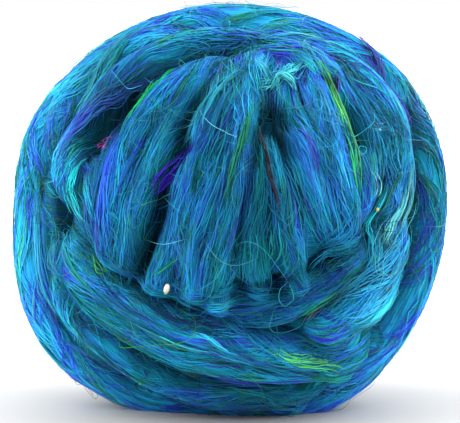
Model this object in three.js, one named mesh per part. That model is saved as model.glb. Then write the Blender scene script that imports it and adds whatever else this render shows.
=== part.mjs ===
// A wound ball of silk roving, resting on a small flat spot.
// Millimetres, +Z up, the front towards -Y, the origin on the floor under the middle of the ball.
import * as THREE from 'three';
import { mergeVertices } from 'three/addons/utils/BufferGeometryUtils.js';

// Driving sizes
const WIDTH = 124.4;
const DEPTH = 114;
const HEIGHT = 117.2;
const CENTRE_HEIGHT = 57.5;
const LOWER_REACH = 63;
const UPPER_REACH = HEIGHT - CENTRE_HEIGHT;

// Depth of the wound layers that the turns are modelled in
const WOUND_DEPTH = 11;

// Heights of the layers above the packed core
const UNDER = 0.5;
const FACE = 3.2;
const OVER = 4.6;
const RIM = 5.6;

// Height of the packed bed that shows in the gaps between turns
const PACKED_BED = 4.4;

// Thickness of a turn for its width, and the bounds of it
const THICK_FOR_WIDTH = 0.42;
const THINNEST_TURN = 3;
const THICKEST_TURN = 5.6;

// Roundness of the back of a turn: 2 is a plain arch, more is fuller at the shoulders
const SHOULDER = 2.5;

// How far the end of a turn dives under its neighbours, and over how many degrees
const DIVE = 6;
const DIVE_DEGREES = 14;

// Swellings of the ball, where it sags on the floor and where the turns are heaped.
// turn, rise: the way it faces, in degrees to the right of the front and above the horizon.
// height: how much it adds, in millimetres; spread: how wide it is, in degrees.
const SWELLING_COLUMNS = ['name', 'turn', 'rise', 'height', 'spread'];
const SWELLINGS = [
  ['sag, left', -88, -36, 4.8, 24],
  ['sag, right', 75, -58, 1.6, 24],
  ['sag, front', 0, -48, 1.5, 35],
  ['sag, back', 180, -45, 2, 35],
  ['shoulder, upper right', 88, 36, 2.6, 26],
  ['shoulder, upper left', -90, 24, 1.6, 18],
];

// Each turn of roving lies in a plane that cuts the ball.
// faces, tilt: the way the plane faces, in degrees to the right of the front and above the horizon.
// out: how far the plane is from the middle, in degrees seen from the middle of the ball.
// from, to: where the turn begins and ends round its plane, 0 at its right and 90 at its top.
// first, last: width of the turn at its beginning and its end, in millimetres.
const TURN_COLUMNS = ['name', 'faces', 'tilt', 'out', 'from', 'to', 'first', 'last', 'layer'];
const FRONT_TURNS = [
  ['outer rim', 0, 3, 8, -90, 172, 16, 16, RIM],
  ['left band', -12, -3, 15, 98, 300, 15, 16, RIM],
  ['inner rim, top left', -3, 10, 33, 40, 185, 10, 10, RIM],
  ['inner rim, right', 19, 24, 49, -35, 95, 10, 11, RIM],
  ['blue band, lower right', 23, -2, 57, -85, 15, 14, 11, OVER],
  ['lower crossing, upper lock', 28, 53, -3, -178, -66, 10, 10, RIM],
  ['lower crossing, lower lock', 23, 48, -6, -178, -50, 10, 12, OVER],
  ['low lock', 9, 20, 7, -165, -50, 9, 9, OVER],
  ['hollow strand', 3, 36, 29, -135, -30, 9, 9, UNDER],
  ['crest over the hollow', 2, 28, 32, -110, -18, 6, 6, FACE],
  ['face 1', 33, -3, 18, 100, 208, 9, 11, FACE],
  ['face 2', 66, -15, -6, 105, 208, 10, 9, FACE],
  ['face 3, left lock', 84, -18, -11, 105, 214, 9, 13, FACE],
  ['face 3, right lock', 79, -9, 2, 105, 212, 9, 11, FACE],
  ['face 4', 84, -8, 4, 100, 212, 10, 11, OVER],
  ['face 5, left lock', 67, 0, 30, 140, 212, 6, 12, FACE],
  ['face 5, right lock', 90, 12, 17, 146, 212, 6, 12, FACE],
  ['face 6', 74, 23, 43, 115, 225, 10, 10, FACE],
  ['face 7', 100, 12, 27, 112, 205, 11, 13, FACE],
  ['face 8', 5, 23, 48, -35, 62, 9, 9, FACE],
  ['face 9', -32, 24, 11, -16, 46, 9, 8, UNDER],
  ['left crossing', 48, 35, -3, 150, 204, 9, 9, UNDER],
  ['left lock', -42, 13, 76, 142, 256, 3, 3, FACE],
  ['back crossing', 205, 50, 2, -170, -40, 15, 14, RIM],
];

// Turns that stand side by side behind the outer rim, each a full ring
const BACK_RIMS = 3;
const FIRST_BACK_RIM_OUT = -6;
const BACK_RIM_PITCH = 14.5;
const BACK_RIM_TILT = 3;
const BACK_RIM_WIDTH = 16;

// Turns that run from top to bottom over the back
const BACK_TURNS = 6;
const BACK_TURN_PITCH = 13.8;
const BACK_TURN_FACES = 90;
const BACK_TURN_FAN = 4;
const BACK_TURN_TILT = 4;
const BACK_TURN_REACH = 70;
const BACK_TURN_WIDTH = 15;

// Mesh of the surface: pieces along an edge of the icosahedron it starts from
const SURFACE_DETAIL = 23;
const MERGE_DISTANCE = 1e-5;

// Corners this near a crease, in millimetres, are moved onto it
const CREASE_PULL = 1.3;
const CREASE_PASSES = 2;
const SLOPE_PROBE = 0.004;

const ROVING_COLOUR = 0x1f6f9e;
const ROVING_ROUGHNESS = 0.45;

const FULL_CIRCLE = 360;
const DEGREE = Math.PI / 180;
const UP = new THREE.Vector3(0, 0, 1);

function clamp(value, low, high) {
  return Math.min(high, Math.max(low, value));
}

function named(columns, row) {
  return Object.fromEntries(columns.map((column, i) => [column, row[i]]));
}

// Direction to the right of the front and above the horizon, in degrees
function direction(turn, rise) {
  const level = Math.cos(rise * DEGREE);
  const across = Math.sin(turn * DEGREE) * level;
  const along = -Math.cos(turn * DEGREE) * level;
  return new THREE.Vector3(across, along, Math.sin(rise * DEGREE));
}

function makeSwelling(row) {
  const swelling = named(SWELLING_COLUMNS, row);
  return { ...swelling, way: direction(swelling.turn, swelling.rise) };
}

function makeTurn(row) {
  const turn = named(TURN_COLUMNS, row);
  const normal = direction(turn.faces, turn.tilt);
  const right = UP.clone().cross(normal).normalize();
  const top = normal.clone().cross(right);
  return { ...turn, normal, right, top };
}

function backRims() {
  const rows = [];
  for (let i = 0; i < BACK_RIMS; i += 1) {
    const tilt = i % 2 === 0 ? -BACK_RIM_TILT : BACK_RIM_TILT;
    const out = FIRST_BACK_RIM_OUT - i * BACK_RIM_PITCH;
    const layer = i % 2 === 0 ? RIM : OVER;
    rows.push([`back rim ${i + 1}`, 0, tilt, out, 0, FULL_CIRCLE, BACK_RIM_WIDTH, BACK_RIM_WIDTH, layer]);
  }
  return rows;
}

function backTurns() {
  const rows = [];
  const middle = (BACK_TURNS - 1) / 2;
  for (let i = 0; i < BACK_TURNS; i += 1) {
    const faces = BACK_TURN_FACES - ((i - middle) / middle) * BACK_TURN_FAN;
    const tilt = i % 2 === 0 ? BACK_TURN_TILT : -BACK_TURN_TILT;
    const out = (i - middle) * BACK_TURN_PITCH;
    const layer = i === 2 ? OVER : FACE;
    const ends = [-BACK_TURN_REACH, BACK_TURN_REACH];
    rows.push([`back ${i + 1}`, faces, tilt, out, ...ends, BACK_TURN_WIDTH, BACK_TURN_WIDTH, layer]);
  }
  return rows;
}

const swellings = SWELLINGS.map(makeSwelling);
const packedBed = { name: 'packed bed', bed: PACKED_BED };
const turns = [packedBed, ...[...FRONT_TURNS, ...backRims(), ...backTurns()].map(makeTurn)];

// Radius of the packed core in one direction
function coreRadius(way) {
  const halfWide = WIDTH / 2 - WOUND_DEPTH;
  const halfDeep = DEPTH / 2 - WOUND_DEPTH;
  const halfHigh = (way.z > 0 ? UPPER_REACH : LOWER_REACH) - WOUND_DEPTH;
  let radius = 1 / Math.hypot(way.x / halfWide, way.y / halfDeep, way.z / halfHigh);
  for (const swelling of swellings) {
    const apart = way.angleTo(swelling.way) / DEGREE;
    radius += swelling.height * Math.exp(-((apart / swelling.spread) ** 2));
  }
  return radius;
}

// Height of one turn above the core in one direction, falling away beside it and past its ends
function turnHeight(turn, way, radius) {
  if (turn.bed) {
    return turn.bed;
  }
  const middle = (turn.from + turn.to) / 2;
  const raw = Math.atan2(way.dot(turn.top), way.dot(turn.right)) / DEGREE;
  const around = raw - FULL_CIRCLE * Math.round((raw - middle) / FULL_CIRCLE);
  const share = clamp((around - turn.from) / (turn.to - turn.from), 0, 1);
  const width = turn.first + (turn.last - turn.first) * share;
  const aside = (Math.asin(clamp(way.dot(turn.normal), -1, 1)) - turn.out * DEGREE) * radius;
  const thick = clamp(width * THICK_FOR_WIDTH, THINNEST_TURN, THICKEST_TURN);
  const crown = thick * (1 - Math.abs(aside / (width / 2)) ** SHOULDER);
  const closed = turn.to - turn.from >= FULL_CIRCLE;
  const toEnd = closed ? DIVE_DEGREES : Math.min(around - turn.from, turn.to - around);
  const dive = DIVE * Math.max(0, 1 - toEnd / DIVE_DEGREES) ** 2;
  return turn.layer + crown - dive;
}

// The two highest turns in one direction
function highestTwo(way, radius) {
  const ranked = turns.map((turn) => ({ turn, height: turnHeight(turn, way, radius) }));
  ranked.sort((a, b) => b.height - a.height);
  return ranked.slice(0, 2);
}

// Moves a direction onto the crease between the two turns that meet there
function pullToCrease(way) {
  const radius = coreRadius(way) + WOUND_DEPTH;
  const [first, second] = highestTwo(way, radius);
  const gapAt = (w) => turnHeight(first.turn, w, radius) - turnHeight(second.turn, w, radius);
  const gap = first.height - second.height;
  const side = UP.clone().cross(way).normalize();
  const rise = way.clone().cross(side);
  const sideSlope = (gapAt(way.clone().addScaledVector(side, SLOPE_PROBE).normalize()) - gap) / SLOPE_PROBE;
  const riseSlope = (gapAt(way.clone().addScaledVector(rise, SLOPE_PROBE).normalize()) - gap) / SLOPE_PROBE;
  const steepness = Math.hypot(sideSlope, riseSlope);
  const step = gap / steepness;
  if (!(step * radius < CREASE_PULL)) {
    return way;
  }
  const moved = way.clone();
  moved.addScaledVector(side, (-step * sideSlope) / steepness);
  moved.addScaledVector(rise, (-step * riseSlope) / steepness);
  return moved.normalize();
}

// Point of the surface in one direction, cut flat where the ball rests
function surfacePoint(way) {
  const core = coreRadius(way);
  const [first] = highestTwo(way, core + WOUND_DEPTH);
  const reach = core + first.height;
  const toFloor = way.z < 0 ? CENTRE_HEIGHT / -way.z : Infinity;
  const point = way.clone().multiplyScalar(Math.min(reach, toFloor));
  point.z += CENTRE_HEIGHT;
  return point;
}

function woundBall() {
  const sphere = new THREE.IcosahedronGeometry(1, SURFACE_DETAIL);
  sphere.deleteAttribute('normal');
  sphere.deleteAttribute('uv');
  const ball = mergeVertices(sphere, MERGE_DISTANCE);
  const corners = ball.attributes.position;
  for (let i = 0; i < corners.count; i += 1) {
    let way = new THREE.Vector3().fromBufferAttribute(corners, i).normalize();
    for (let pass = 0; pass < CREASE_PASSES; pass += 1) {
      way = pullToCrease(way);
    }
    const point = surfacePoint(way);
    corners.setXYZ(i, point.x, point.y, point.z);
  }
  ball.computeVertexNormals();
  return ball;
}

const roving = new THREE.MeshStandardMaterial({
  color: ROVING_COLOUR,
  roughness: ROVING_ROUGHNESS,
  metalness: 0,
});

const rovingBall = new THREE.Mesh(woundBall(), roving);
rovingBall.name = 'roving_ball';

const part = new THREE.Group();
part.add(rovingBall);

export default part;
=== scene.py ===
# %% [markdown]
# # A wound ball of silk roving
# Roving is combed fibre that hasn't been spun: a soft, flat length with all its hairs
# lying one way. Here it is silk, dyed in blues and teals, and wound by hand into a ball.
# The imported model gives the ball's size and the place of its main turns. This lesson
# lays thousands of fine strands on those turns, then adds the coloured locks, the stray
# hairs and the light.

# %% Load the frame
import math
import bpy
import bmesh
import numpy as np
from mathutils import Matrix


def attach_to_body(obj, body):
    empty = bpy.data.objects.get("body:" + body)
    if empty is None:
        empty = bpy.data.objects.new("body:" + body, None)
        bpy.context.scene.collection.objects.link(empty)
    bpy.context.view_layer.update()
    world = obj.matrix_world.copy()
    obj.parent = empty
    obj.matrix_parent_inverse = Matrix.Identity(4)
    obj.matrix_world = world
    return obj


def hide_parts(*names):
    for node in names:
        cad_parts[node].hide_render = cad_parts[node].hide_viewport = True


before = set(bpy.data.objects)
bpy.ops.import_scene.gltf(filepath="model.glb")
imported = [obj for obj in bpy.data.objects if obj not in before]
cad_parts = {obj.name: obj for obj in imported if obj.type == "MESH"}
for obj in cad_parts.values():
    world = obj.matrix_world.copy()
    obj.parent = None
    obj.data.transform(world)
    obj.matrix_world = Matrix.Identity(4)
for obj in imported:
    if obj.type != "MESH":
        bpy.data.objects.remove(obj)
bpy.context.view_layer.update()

# %% [markdown]
# ## The turns
# Each turn of a hand-wound ball lies nearly in a plane, because the hand goes round in a
# circle while the ball is held still. So a turn needs only the way its plane faces, how
# far the plane is from the middle, where it begins and ends, its widths and its layer.
# The same turns shape the solid, so the strands lie on it wherever they go.

# %% Sizes of the ball
MM = 0.001
DEGREE = math.pi / 180
FULL_CIRCLE = 360

WIDTH = 124.4 * MM
DEPTH = 114 * MM
HEIGHT = 117.2 * MM
MEAN_RADIUS = 60 * MM
CENTRE_HEIGHT = 57.5 * MM
BALL_MIDDLE = (0, 0, CENTRE_HEIGHT)
LOWER_REACH = 63 * MM
UPPER_REACH = HEIGHT - CENTRE_HEIGHT
WOUND_DEPTH = 11 * MM
PACKED_BED = 4.4 * MM

# %% Layers and section of the turns
# Layers are millimetres above the wound core, from the turns laid first to the last.
UNDER = 0.5
FACE = 3.2
OVER = 4.6
RIM = 5.6

# A turn is a low arch across, and it dives under the others near its ends.
THICK_FOR_WIDTH = 0.42
THINNEST_TURN = 3 * MM
THICKEST_TURN = 5.6 * MM
SHOULDER = 2.5
DIVE = 6 * MM
DIVE_DEGREES = 14

# %% Swellings, where the ball sags on the floor and where turns are heaped
SWELLING_COLUMNS = ["name", "turn", "rise", "height", "spread"]
SWELLINGS = [
    ["sag, left", -88, -36, 4.8, 24],
    ["sag, right", 75, -58, 1.6, 24],
    ["sag, front", 0, -48, 1.5, 35],
    ["sag, back", 180, -45, 2, 35],
    ["shoulder, upper right", 88, 36, 2.6, 26],
    ["shoulder, upper left", -90, 24, 1.6, 18],
]

# %% Turns of the front
# faces, tilt: the way the plane faces, in degrees right of the front and above the horizon.
# out: degrees from the middle to the plane. starts, ends: degrees round the plane.
# first, last: width in millimetres. dye: from 0, deep teal, to 1, royal blue.
TURN_COLUMNS = ["name", "faces", "tilt", "out", "starts", "ends", "first", "last", "layer", "dye"]
RIM_TURNS = [
    ["outer rim", 0, 3, 8, -90, 172, 16, 16, RIM, 0.45],
    ["left band", -12, -3, 15, 98, 300, 15, 16, RIM, 0.45],
    ["inner rim, top left", -3, 10, 33, 40, 185, 10, 10, RIM, 0.45],
    ["inner rim, right", 19, 24, 49, -35, 95, 10, 11, RIM, 0.4],
]
LOWER_TURNS = [
    ["blue band, lower right", 23, -2, 57, -85, 15, 14, 11, OVER, 0.62],
    ["lower crossing, upper lock", 28, 53, -3, -178, -66, 10, 10, RIM, 0.4],
    ["lower crossing, lower lock", 23, 48, -6, -178, -50, 10, 12, OVER, 0.35],
    ["low lock", 9, 20, 7, -165, -50, 9, 9, OVER, 0.3],
    ["hollow strand", 3, 36, 29, -135, -30, 9, 9, UNDER, 0.6],
    ["crest over the hollow", 2, 28, 32, -110, -18, 6, 6, FACE, 0.3],
]
FACE_TURNS = [
    ["face 1", 33, -3, 18, 100, 208, 9, 11, FACE, 0.75],
    ["face 2", 66, -15, -6, 105, 208, 10, 9, FACE, 0.3],
    ["face 3, left lock", 84, -18, -11, 105, 214, 9, 13, FACE, 0.3],
    ["face 3, right lock", 79, -9, 2, 105, 212, 9, 11, FACE, 0.35],
    ["face 4", 84, -8, 4, 100, 212, 10, 11, OVER, 0.3],
    ["face 5, left lock", 67, 0, 30, 140, 212, 6, 12, FACE, 0.2],
    ["face 5, right lock", 90, 12, 17, 146, 212, 6, 12, FACE, 0.25],
    ["face 6", 74, 23, 43, 115, 225, 10, 10, FACE, 0.6],
    ["face 7", 100, 12, 27, 112, 205, 11, 13, FACE, 0.65],
    ["face 8", 5, 23, 48, -35, 62, 9, 9, FACE, 0.4],
    ["face 9", -32, 24, 11, -16, 46, 9, 8, UNDER, 0.4],
    ["left crossing", 48, 35, -3, 150, 204, 9, 9, UNDER, 0.4],
    ["left lock", -42, 13, 76, 142, 256, 3, 3, FACE, 0.2],
]

# %% Turns of the back, which repeat
BACK_RIMS = 3
FIRST_BACK_RIM_OUT = -6
BACK_RIM_PITCH = 14.5
BACK_RIM_TILT = 3
BACK_RIM_WIDTH = 16
FIRST_BACK_RIM_DYE = 0.35
BACK_RIM_DYE_STEP = 0.1
BACK_TURNS = 6
BACK_TURN_PITCH = 13.8
BACK_TURN_FACES = 90
BACK_TURN_FAN = 4
BACK_TURN_TILT = 4
BACK_TURN_REACH = 70
BACK_TURN_WIDTH = 15
FIRST_BACK_DYE = 0.3
BACK_DYE_STEP = 0.15
RAISED_BACK_TURN = 2
BACK_CROSSING = ["back crossing", 205, 50, 2, -170, -40, 15, 14, RIM, 0.45]


def back_rims():
    """Rows of the rim turns behind the front ones, which lean to and fro in turn."""
    rows = []
    for i in range(BACK_RIMS):
        tilt, layer = (-BACK_RIM_TILT, RIM) if i % 2 == 0 else (BACK_RIM_TILT, OVER)
        place = [0, tilt, FIRST_BACK_RIM_OUT - i * BACK_RIM_PITCH, 0, FULL_CIRCLE]
        dye = FIRST_BACK_RIM_DYE + BACK_RIM_DYE_STEP * i
        rows.append([f"back rim {i + 1}", *place, BACK_RIM_WIDTH, BACK_RIM_WIDTH, layer, dye])
    return rows


def back_turns():
    """Rows of the turns of the back, fanned out from its middle, and the one across them."""
    rows = []
    middle = (BACK_TURNS - 1) / 2
    for i in range(BACK_TURNS):
        faces = BACK_TURN_FACES - (i - middle) / middle * BACK_TURN_FAN
        tilt = BACK_TURN_TILT if i % 2 == 0 else -BACK_TURN_TILT
        place = [faces, tilt, (i - middle) * BACK_TURN_PITCH, -BACK_TURN_REACH, BACK_TURN_REACH]
        layer = OVER if i == RAISED_BACK_TURN else FACE
        dye = FIRST_BACK_DYE + BACK_DYE_STEP * (i % 3)
        rows.append([f"back {i + 1}", *place, BACK_TURN_WIDTH, BACK_TURN_WIDTH, layer, dye])
    return [*rows, BACK_CROSSING]


# %% Directions, and turns as numbers to work with
def named(columns, rows):
    """Each row of a table, with its values by name."""
    return [dict(zip(columns, row)) for row in rows]


def unit(vectors):
    return vectors / np.linalg.norm(vectors, axis=-1, keepdims=True)


def direction(turn, rise):
    """Unit vector, in degrees to the right of the front and above the horizon."""
    turn, rise = turn * DEGREE, rise * DEGREE
    level = math.cos(rise)
    return np.array([math.sin(turn) * level, -math.cos(turn) * level, math.sin(rise)])


def make_turn(turn):
    """Adds the directions of a turn's plane to its row."""
    turn["normal"] = direction(turn["faces"], turn["tilt"])
    turn["right"] = unit(np.cross([0, 0, 1], turn["normal"]))
    turn["top"] = np.cross(turn["normal"], turn["right"])
    return turn


groups = {
    "rim": RIM_TURNS,
    "lower": LOWER_TURNS,
    "face": FACE_TURNS,
    "back_rim": back_rims(),
    "back": back_turns(),
}
turns = {
    group: [make_turn(turn) for turn in named(TURN_COLUMNS, rows)]
    for group, rows in groups.items()
}
every_turn = [turn for group in turns.values() for turn in group]
print("turns:", {group: len(rows) for group, rows in turns.items()})


# %% Radius of the wound core
def bell(apart, spread):
    """One at a place, falling smoothly to nought around it."""
    return np.exp(-((apart / spread) ** 2))


def near_place(way, place):
    """How strongly a swelling or a patch is felt in each direction."""
    towards = direction(place["turn"], place["rise"])
    return bell(np.arccos(np.clip(way @ towards, -1, 1)) / DEGREE, place["spread"])


def core_radius(way):
    """Radius of an egg as wide, deep and high as the ball without its turns, and swollen."""
    half_high = np.where(way[:, 2] > 0, UPPER_REACH, LOWER_REACH) - WOUND_DEPTH
    across = way[:, 0] / (WIDTH / 2 - WOUND_DEPTH)
    along = way[:, 1] / (DEPTH / 2 - WOUND_DEPTH)
    radius = 1 / np.sqrt(across ** 2 + along ** 2 + (way[:, 2] / half_high) ** 2)
    for swelling in named(SWELLING_COLUMNS, SWELLINGS):
        radius += swelling["height"] * MM * near_place(way, swelling)
    return radius


# %% Height of a turn above the core
def dive_at(turn, around):
    """How far a turn has sunk near its ends, where it passes under the others."""
    if turn["ends"] - turn["starts"] >= FULL_CIRCLE:
        return np.zeros_like(around)
    to_end = np.minimum(around - turn["starts"], turn["ends"] - around)
    return DIVE * np.maximum(0, 1 - to_end / DIVE_DEGREES) ** 2


def width_at(turn, around):
    share = np.clip((around - turn["starts"]) / (turn["ends"] - turn["starts"]), 0, 1)
    return (turn["first"] + (turn["last"] - turn["first"]) * share) * MM


def thickness(width):
    return np.clip(width * THICK_FOR_WIDTH, THINNEST_TURN, THICKEST_TURN)


def turn_height(turn, way, radius):
    """Height above the core, with the degrees round the turn and the share across it."""
    middle = (turn["starts"] + turn["ends"]) / 2
    raw = np.arctan2(way @ turn["top"], way @ turn["right"]) / DEGREE
    around = raw - FULL_CIRCLE * np.round((raw - middle) / FULL_CIRCLE)
    width = width_at(turn, around)
    aside = (np.arcsin(np.clip(way @ turn["normal"], -1, 1)) - turn["out"] * DEGREE) * radius
    across = aside / (width / 2)
    crown = thickness(width) * (1 - np.abs(across) ** SHOULDER)
    return turn["layer"] * MM + crown - dive_at(turn, around), around, across


# %% [markdown]
# ## The bed
# Under the strands the ball needs an even body, or light would leak between them. A
# maker's ball has thousands of hidden hairs there. One closed surface stands for them:
# a sphere of small triangles, each corner moved out to the highest turn above it. It
# could be a sculpted mesh, but the rule of the turns gives every crease its true place.
# Between some turns the ball has folds and hollows, and there the bed sinks further in.

# %% Folds between the turns
# Each fold is a line from where it starts, past a place, to where it ends, in degrees
# right of the front and above the horizon. Depth and spread are in millimetres. A bridge
# has a negative depth: locks fill the gap there and the two turns look like one.
FOLD_COLUMNS = ["name", "start", "passes", "end", "depth", "spread"]
FOLDS = [
    ["below the rim, left", (-61, 19), (-58, 37), (-42, 54), 4, 3.2],
    ["below the rim, top", (-42, 54), (-10, 62), (29, 62), 5, 3],
    ["hollow, left", (-44, 42), (-52, 33), (-58, 22), 10, 5.5],
    ["behind the left band", (-70, 18), (-63, 5), (-60, -13), 5.5, 3.4],
    ["between face 1 and 3", (-20, 11), (-24, -2), (-30, -15), 6, 3],
    ["behind the violet lock", (-12, 27), (-19, 19), (-25, 9), 4.5, 2.5],
    ["between face 2 and 3", (-14, 46), (-17, 36), (-18, 25), 4, 3.2],
    ["left of face 5", (14, 39), (6, 17), (2, -9), 2, 1.6],
    ["below the tuft", (17, 39), (19.5, 35), (21, 29), 4.5, 2.6],
    ["between face 5 and 6", (16, 32), (19, 26), (20, 20), 3, 1.8],
    ["right of face 7", (50, 38), (49, 30), (49, 22), 5.5, 2.6],
    ["below the face, right", (51, 3), (39, -6), (24, -14), 5, 2.2],
    ["below the face", (26, -13), (12, -18), (2, -17), 3.5, 2.2],
    ["foot of face 4", (-12, -24), (-4, -20), (4, -18), 3, 1.8],
    ["behind the right band", (84, 33), (69, 15), (66, -6), 8, 4],
    ["lower left", (-61, -12), (-50, -33), (-20, -53), 6, 2.6],
    ["over the blue band", (23, -30), (34, -22), (46, -12), 2.4, 1.6],
    ["over the low lock", (-10, -50), (33, -52), (60, -50), 4, 2],
    ["over the lower crossing", (-49, -7), (-27, -21), (4, -30), 5, 2],
    ["below the hollow", (4, -31), (21, -36), (51, -41), 3.8, 2],
    ["behind the lower right band", (68, -12), (67, -32), (52, -57), 6, 2.4],
    ["bridge, face 1 and 2", (-36, 37), (-33, 13), (-35, -11), -1.5, 2.5],
    ["bridge, face 3", (-13, 40), (-12, 11), (-14, -20), -2.8, 3],
    ["bridge, face 4 and 5", (10, 22), (5, 4), (3, -16), -1.2, 2],
    ["bridge, face 5", (12, 19), (13, 2), (16, -16), -2.6, 2.6],
    ["bridge, face 5 and 6", (19, 18), (20, 8), (23, -6), -2, 2.4],
    ["bridge, face 6 and 7", (26, 32), (24, 14), (26, -3), -2.6, 3],
]


def bow(start, passes, end, steps):
    """Directions along a smooth bow through three places."""
    share = np.linspace(0, 1, steps)[:, None]
    start, passes, end = (np.array(place, float) for place in (start, passes, end))
    from_start = start * (1 - share) * (1 - 2 * share)
    halfway = passes * 4 * share * (1 - share)
    to_end = end * share * (2 * share - 1)
    return np.array([direction(turn, rise) for turn, rise in from_start + halfway + to_end])


# %% How deep the folds are
FOLD_STEPS = 25
FOLD_END_LOSS = 0.7
FOLD_END_SHARPNESS = 4
# The cosine of the widest angle from its middle at which a fold is felt.
FOLD_REACH = 0.5

folds = named(FOLD_COLUMNS, FOLDS)
for fold in folds:
    fold["line"] = bow(fold["start"], fold["passes"], fold["end"], FOLD_STEPS)
print("folds:", len(folds))


def fold_depth(way):
    """How far the folds sink the ball in each direction; a fold is shallow at its ends."""
    depth = np.zeros(len(way))
    to_ends = np.abs(np.linspace(-1, 1, FOLD_STEPS)) ** FOLD_END_SHARPNESS
    shallow = 1 - to_ends * FOLD_END_LOSS
    for fold in folds:
        near = np.flatnonzero(way @ fold["line"][FOLD_STEPS // 2] > FOLD_REACH)
        closeness = way[near] @ fold["line"].T
        nearest = closeness.argmax(axis=1)
        apart = np.arccos(np.clip(closeness.max(axis=1), -1, 1)) * MEAN_RADIUS / MM
        sunk = fold["depth"] * MM * shallow[nearest] * bell(apart, fold["spread"])
        depth[near] = np.where(np.abs(sunk) > np.abs(depth[near]), sunk, depth[near])
    return depth


# %% The surface below any direction
# Where no turn covers the core, its strands run round this axis.
CORE_AXIS = [0.2, 0, 1]
CORE_STRAND_WIDTH = 10 * MM


def surface_of(way):
    """What lies uppermost in each direction: its height, its turn and the place on it."""
    core = core_radius(way)
    found = {
        "core": core,
        "height": np.full(len(way), PACKED_BED),
        "turn": np.full(len(way), -1),
        "along": way[:, 0] * MEAN_RADIUS,
        "aside": way[:, 2] * MEAN_RADIUS,
        "across": np.zeros(len(way)),
        "width": np.full(len(way), CORE_STRAND_WIDTH),
        "flow": np.cross(CORE_AXIS, way),
    }
    for number, turn in enumerate(every_turn):
        height, around, across = turn_height(turn, way, core + WOUND_DEPTH)
        width = width_at(turn, around)
        here = {
            "height": height,
            "turn": np.full(len(way), number),
            "along": around * DEGREE * MEAN_RADIUS,
            "aside": across * width / 2,
            "across": across,
            "width": width,
            "flow": np.cross(turn["normal"], way),
        }
        wins = height > found["height"]
        for key, value in here.items():
            chosen = wins[:, None] if value.ndim == 2 else wins
            found[key] = np.where(chosen, value, found[key])
    found["flow"] = unit(found["flow"])
    return found


# %% [markdown]
# The dye bath is never even, so some stretches of a real roving are greener or bluer than
# others, and a few broad patches shift the dye near a place. The same patches make the silk
# lighter or darker there, and that is painted light and shade: lighter in some places, such
# as the left edge and the low parts, and darker in others, such as the groove below the
# face. Noise could strew such patches, but here each has its own place, so each is a row.

# %% Broad patches of painted light and shade, and of bluer silk
# The next to last value is painted light and shade, a factor on the silk's colour; the last shifts
# the dye.
PATCH_COLUMNS = ["name", "turn", "rise", "spread", "painted_light", "bluer"]
PATCHES = [
    ["left edge", -84, -5, 26, 0.65, 0],
    ["rim, upper left", -62, 46, 16, -0.35, -0.08],
    ["inner left rim", -62, 25, 13, 0.6, 0],
    ["turquoise lock", -48, 4, 8, 0.9, 0],
    ["lower left", -70, -42, 17, 1, 0],
    ["top", -20, 75, 32, -0.22, 0],
    ["face 1", -36, 18, 14, 0.15, 0.04],
    ["head of face 2", -24, 46, 8, 0.8, 0],
    ["recess", -20, 19, 8, 0.45, 0],
    ["face 4", -3, 33, 9, -0.45, 0.08],
    ["left of the cavity", 12, 32, 5, 0.5, 0],
    ["face 4 and 5", 6, 11, 12, -0.45, 0.1],
    ["right of face 7", 51, 35, 7, 0.8, 0],
    ["groove below the face", 40, 0, 6, -0.55, 0],
    ["foot of face 6", 27, -1, 5, 0.4, 0],
    ["foot of face 3", -18, -20, 7, 0.3, 0],
    ["inner right", 52, 12, 18, 0.15, 0],
    ["blades", 51, 0, 6, 0.8, 0],
    ["right edge", 88, 18, 24, -0.4, 0],
    ["blue band", 46, -18, 11, 0.7, 0.05],
    ["lower right edge", 84, -48, 18, 1, -0.06],
    ["hollow", 4, -27, 11, 0.4, 0.1],
    ["crossing", 20, -32, 8, 0.9, 0],
    ["below the foot", -12, -30, 8, 0.6, 0],
    ["low front", 6, -58, 26, 0.45, 0.07],
]


def patch_values(way):
    """Painted light and shade in each direction, as a factor, and how much bluer the dye is."""
    painted_light, bluer = np.ones(len(way)), np.zeros(len(way))
    for patch in named(PATCH_COLUMNS, PATCHES):
        near = near_place(way, patch)
        painted_light *= 1 + patch["painted_light"] * near
        bluer += patch["bluer"] * near
    return painted_light, bluer


# %% Relief of the bed
LOCKS_ACROSS = 3.5 * MM
LOCK_RELIEF = 1.2 * MM
LOCK_WAVE = 40 * MM
LOCK_SWAY = 0.35
RIDGE_SHAPE = 0.6
# These shifts keep neighbouring turns from showing the same ridges.
TURN_SHIFT = 0.618
SWAY_SHIFT = 7


def lock_ridge(found):
    """Relief of the separate locks in a turn: rounded ridges with sharp valleys."""
    locks = np.maximum(1, np.round(found["width"] / LOCKS_ACROSS))
    phase = (found["turn"] * TURN_SHIFT) % 1
    wave = LOCK_SWAY * np.sin(found["along"] / LOCK_WAVE * 2 * math.pi + phase * SWAY_SHIFT)
    ridge = np.abs(np.sin(math.pi * (found["across"] * locks / 2 + phase + wave)))
    return LOCK_RELIEF * (ridge ** RIDGE_SHAPE - RIDGE_SHAPE)


def blurred(mesh, values, rounds):
    """Averages a number with its neighbours, again and again."""
    ends = np.zeros(len(mesh.edges) * 2, np.int32)
    mesh.edges.foreach_get("vertices", ends)
    one, other = ends.reshape(-1, 2).T
    size = len(values)
    count = np.bincount(one, minlength=size) + np.bincount(other, minlength=size)
    for _ in range(rounds):
        total = np.bincount(one, values[other], size) + np.bincount(other, values[one], size)
        values = (values + total) / (count + 1)
    return values


# %% Helpers for meshes and objects
def attach(mesh, name, values):
    """Stores a number or a vector for each corner of a mesh."""
    values = np.array(values, np.float32)
    flat = values.ndim == 1
    layer = mesh.attributes.new(name, "FLOAT" if flat else "FLOAT_VECTOR", "POINT")
    layer.data.foreach_set("value" if flat else "vector", values.ravel())


def smooth(mesh):
    mesh.polygons.foreach_set("use_smooth", [True] * len(mesh.polygons))


def into_scene(name, data):
    thing = bpy.data.objects.new(name, data)
    bpy.context.scene.collection.objects.link(thing)
    return thing


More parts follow.
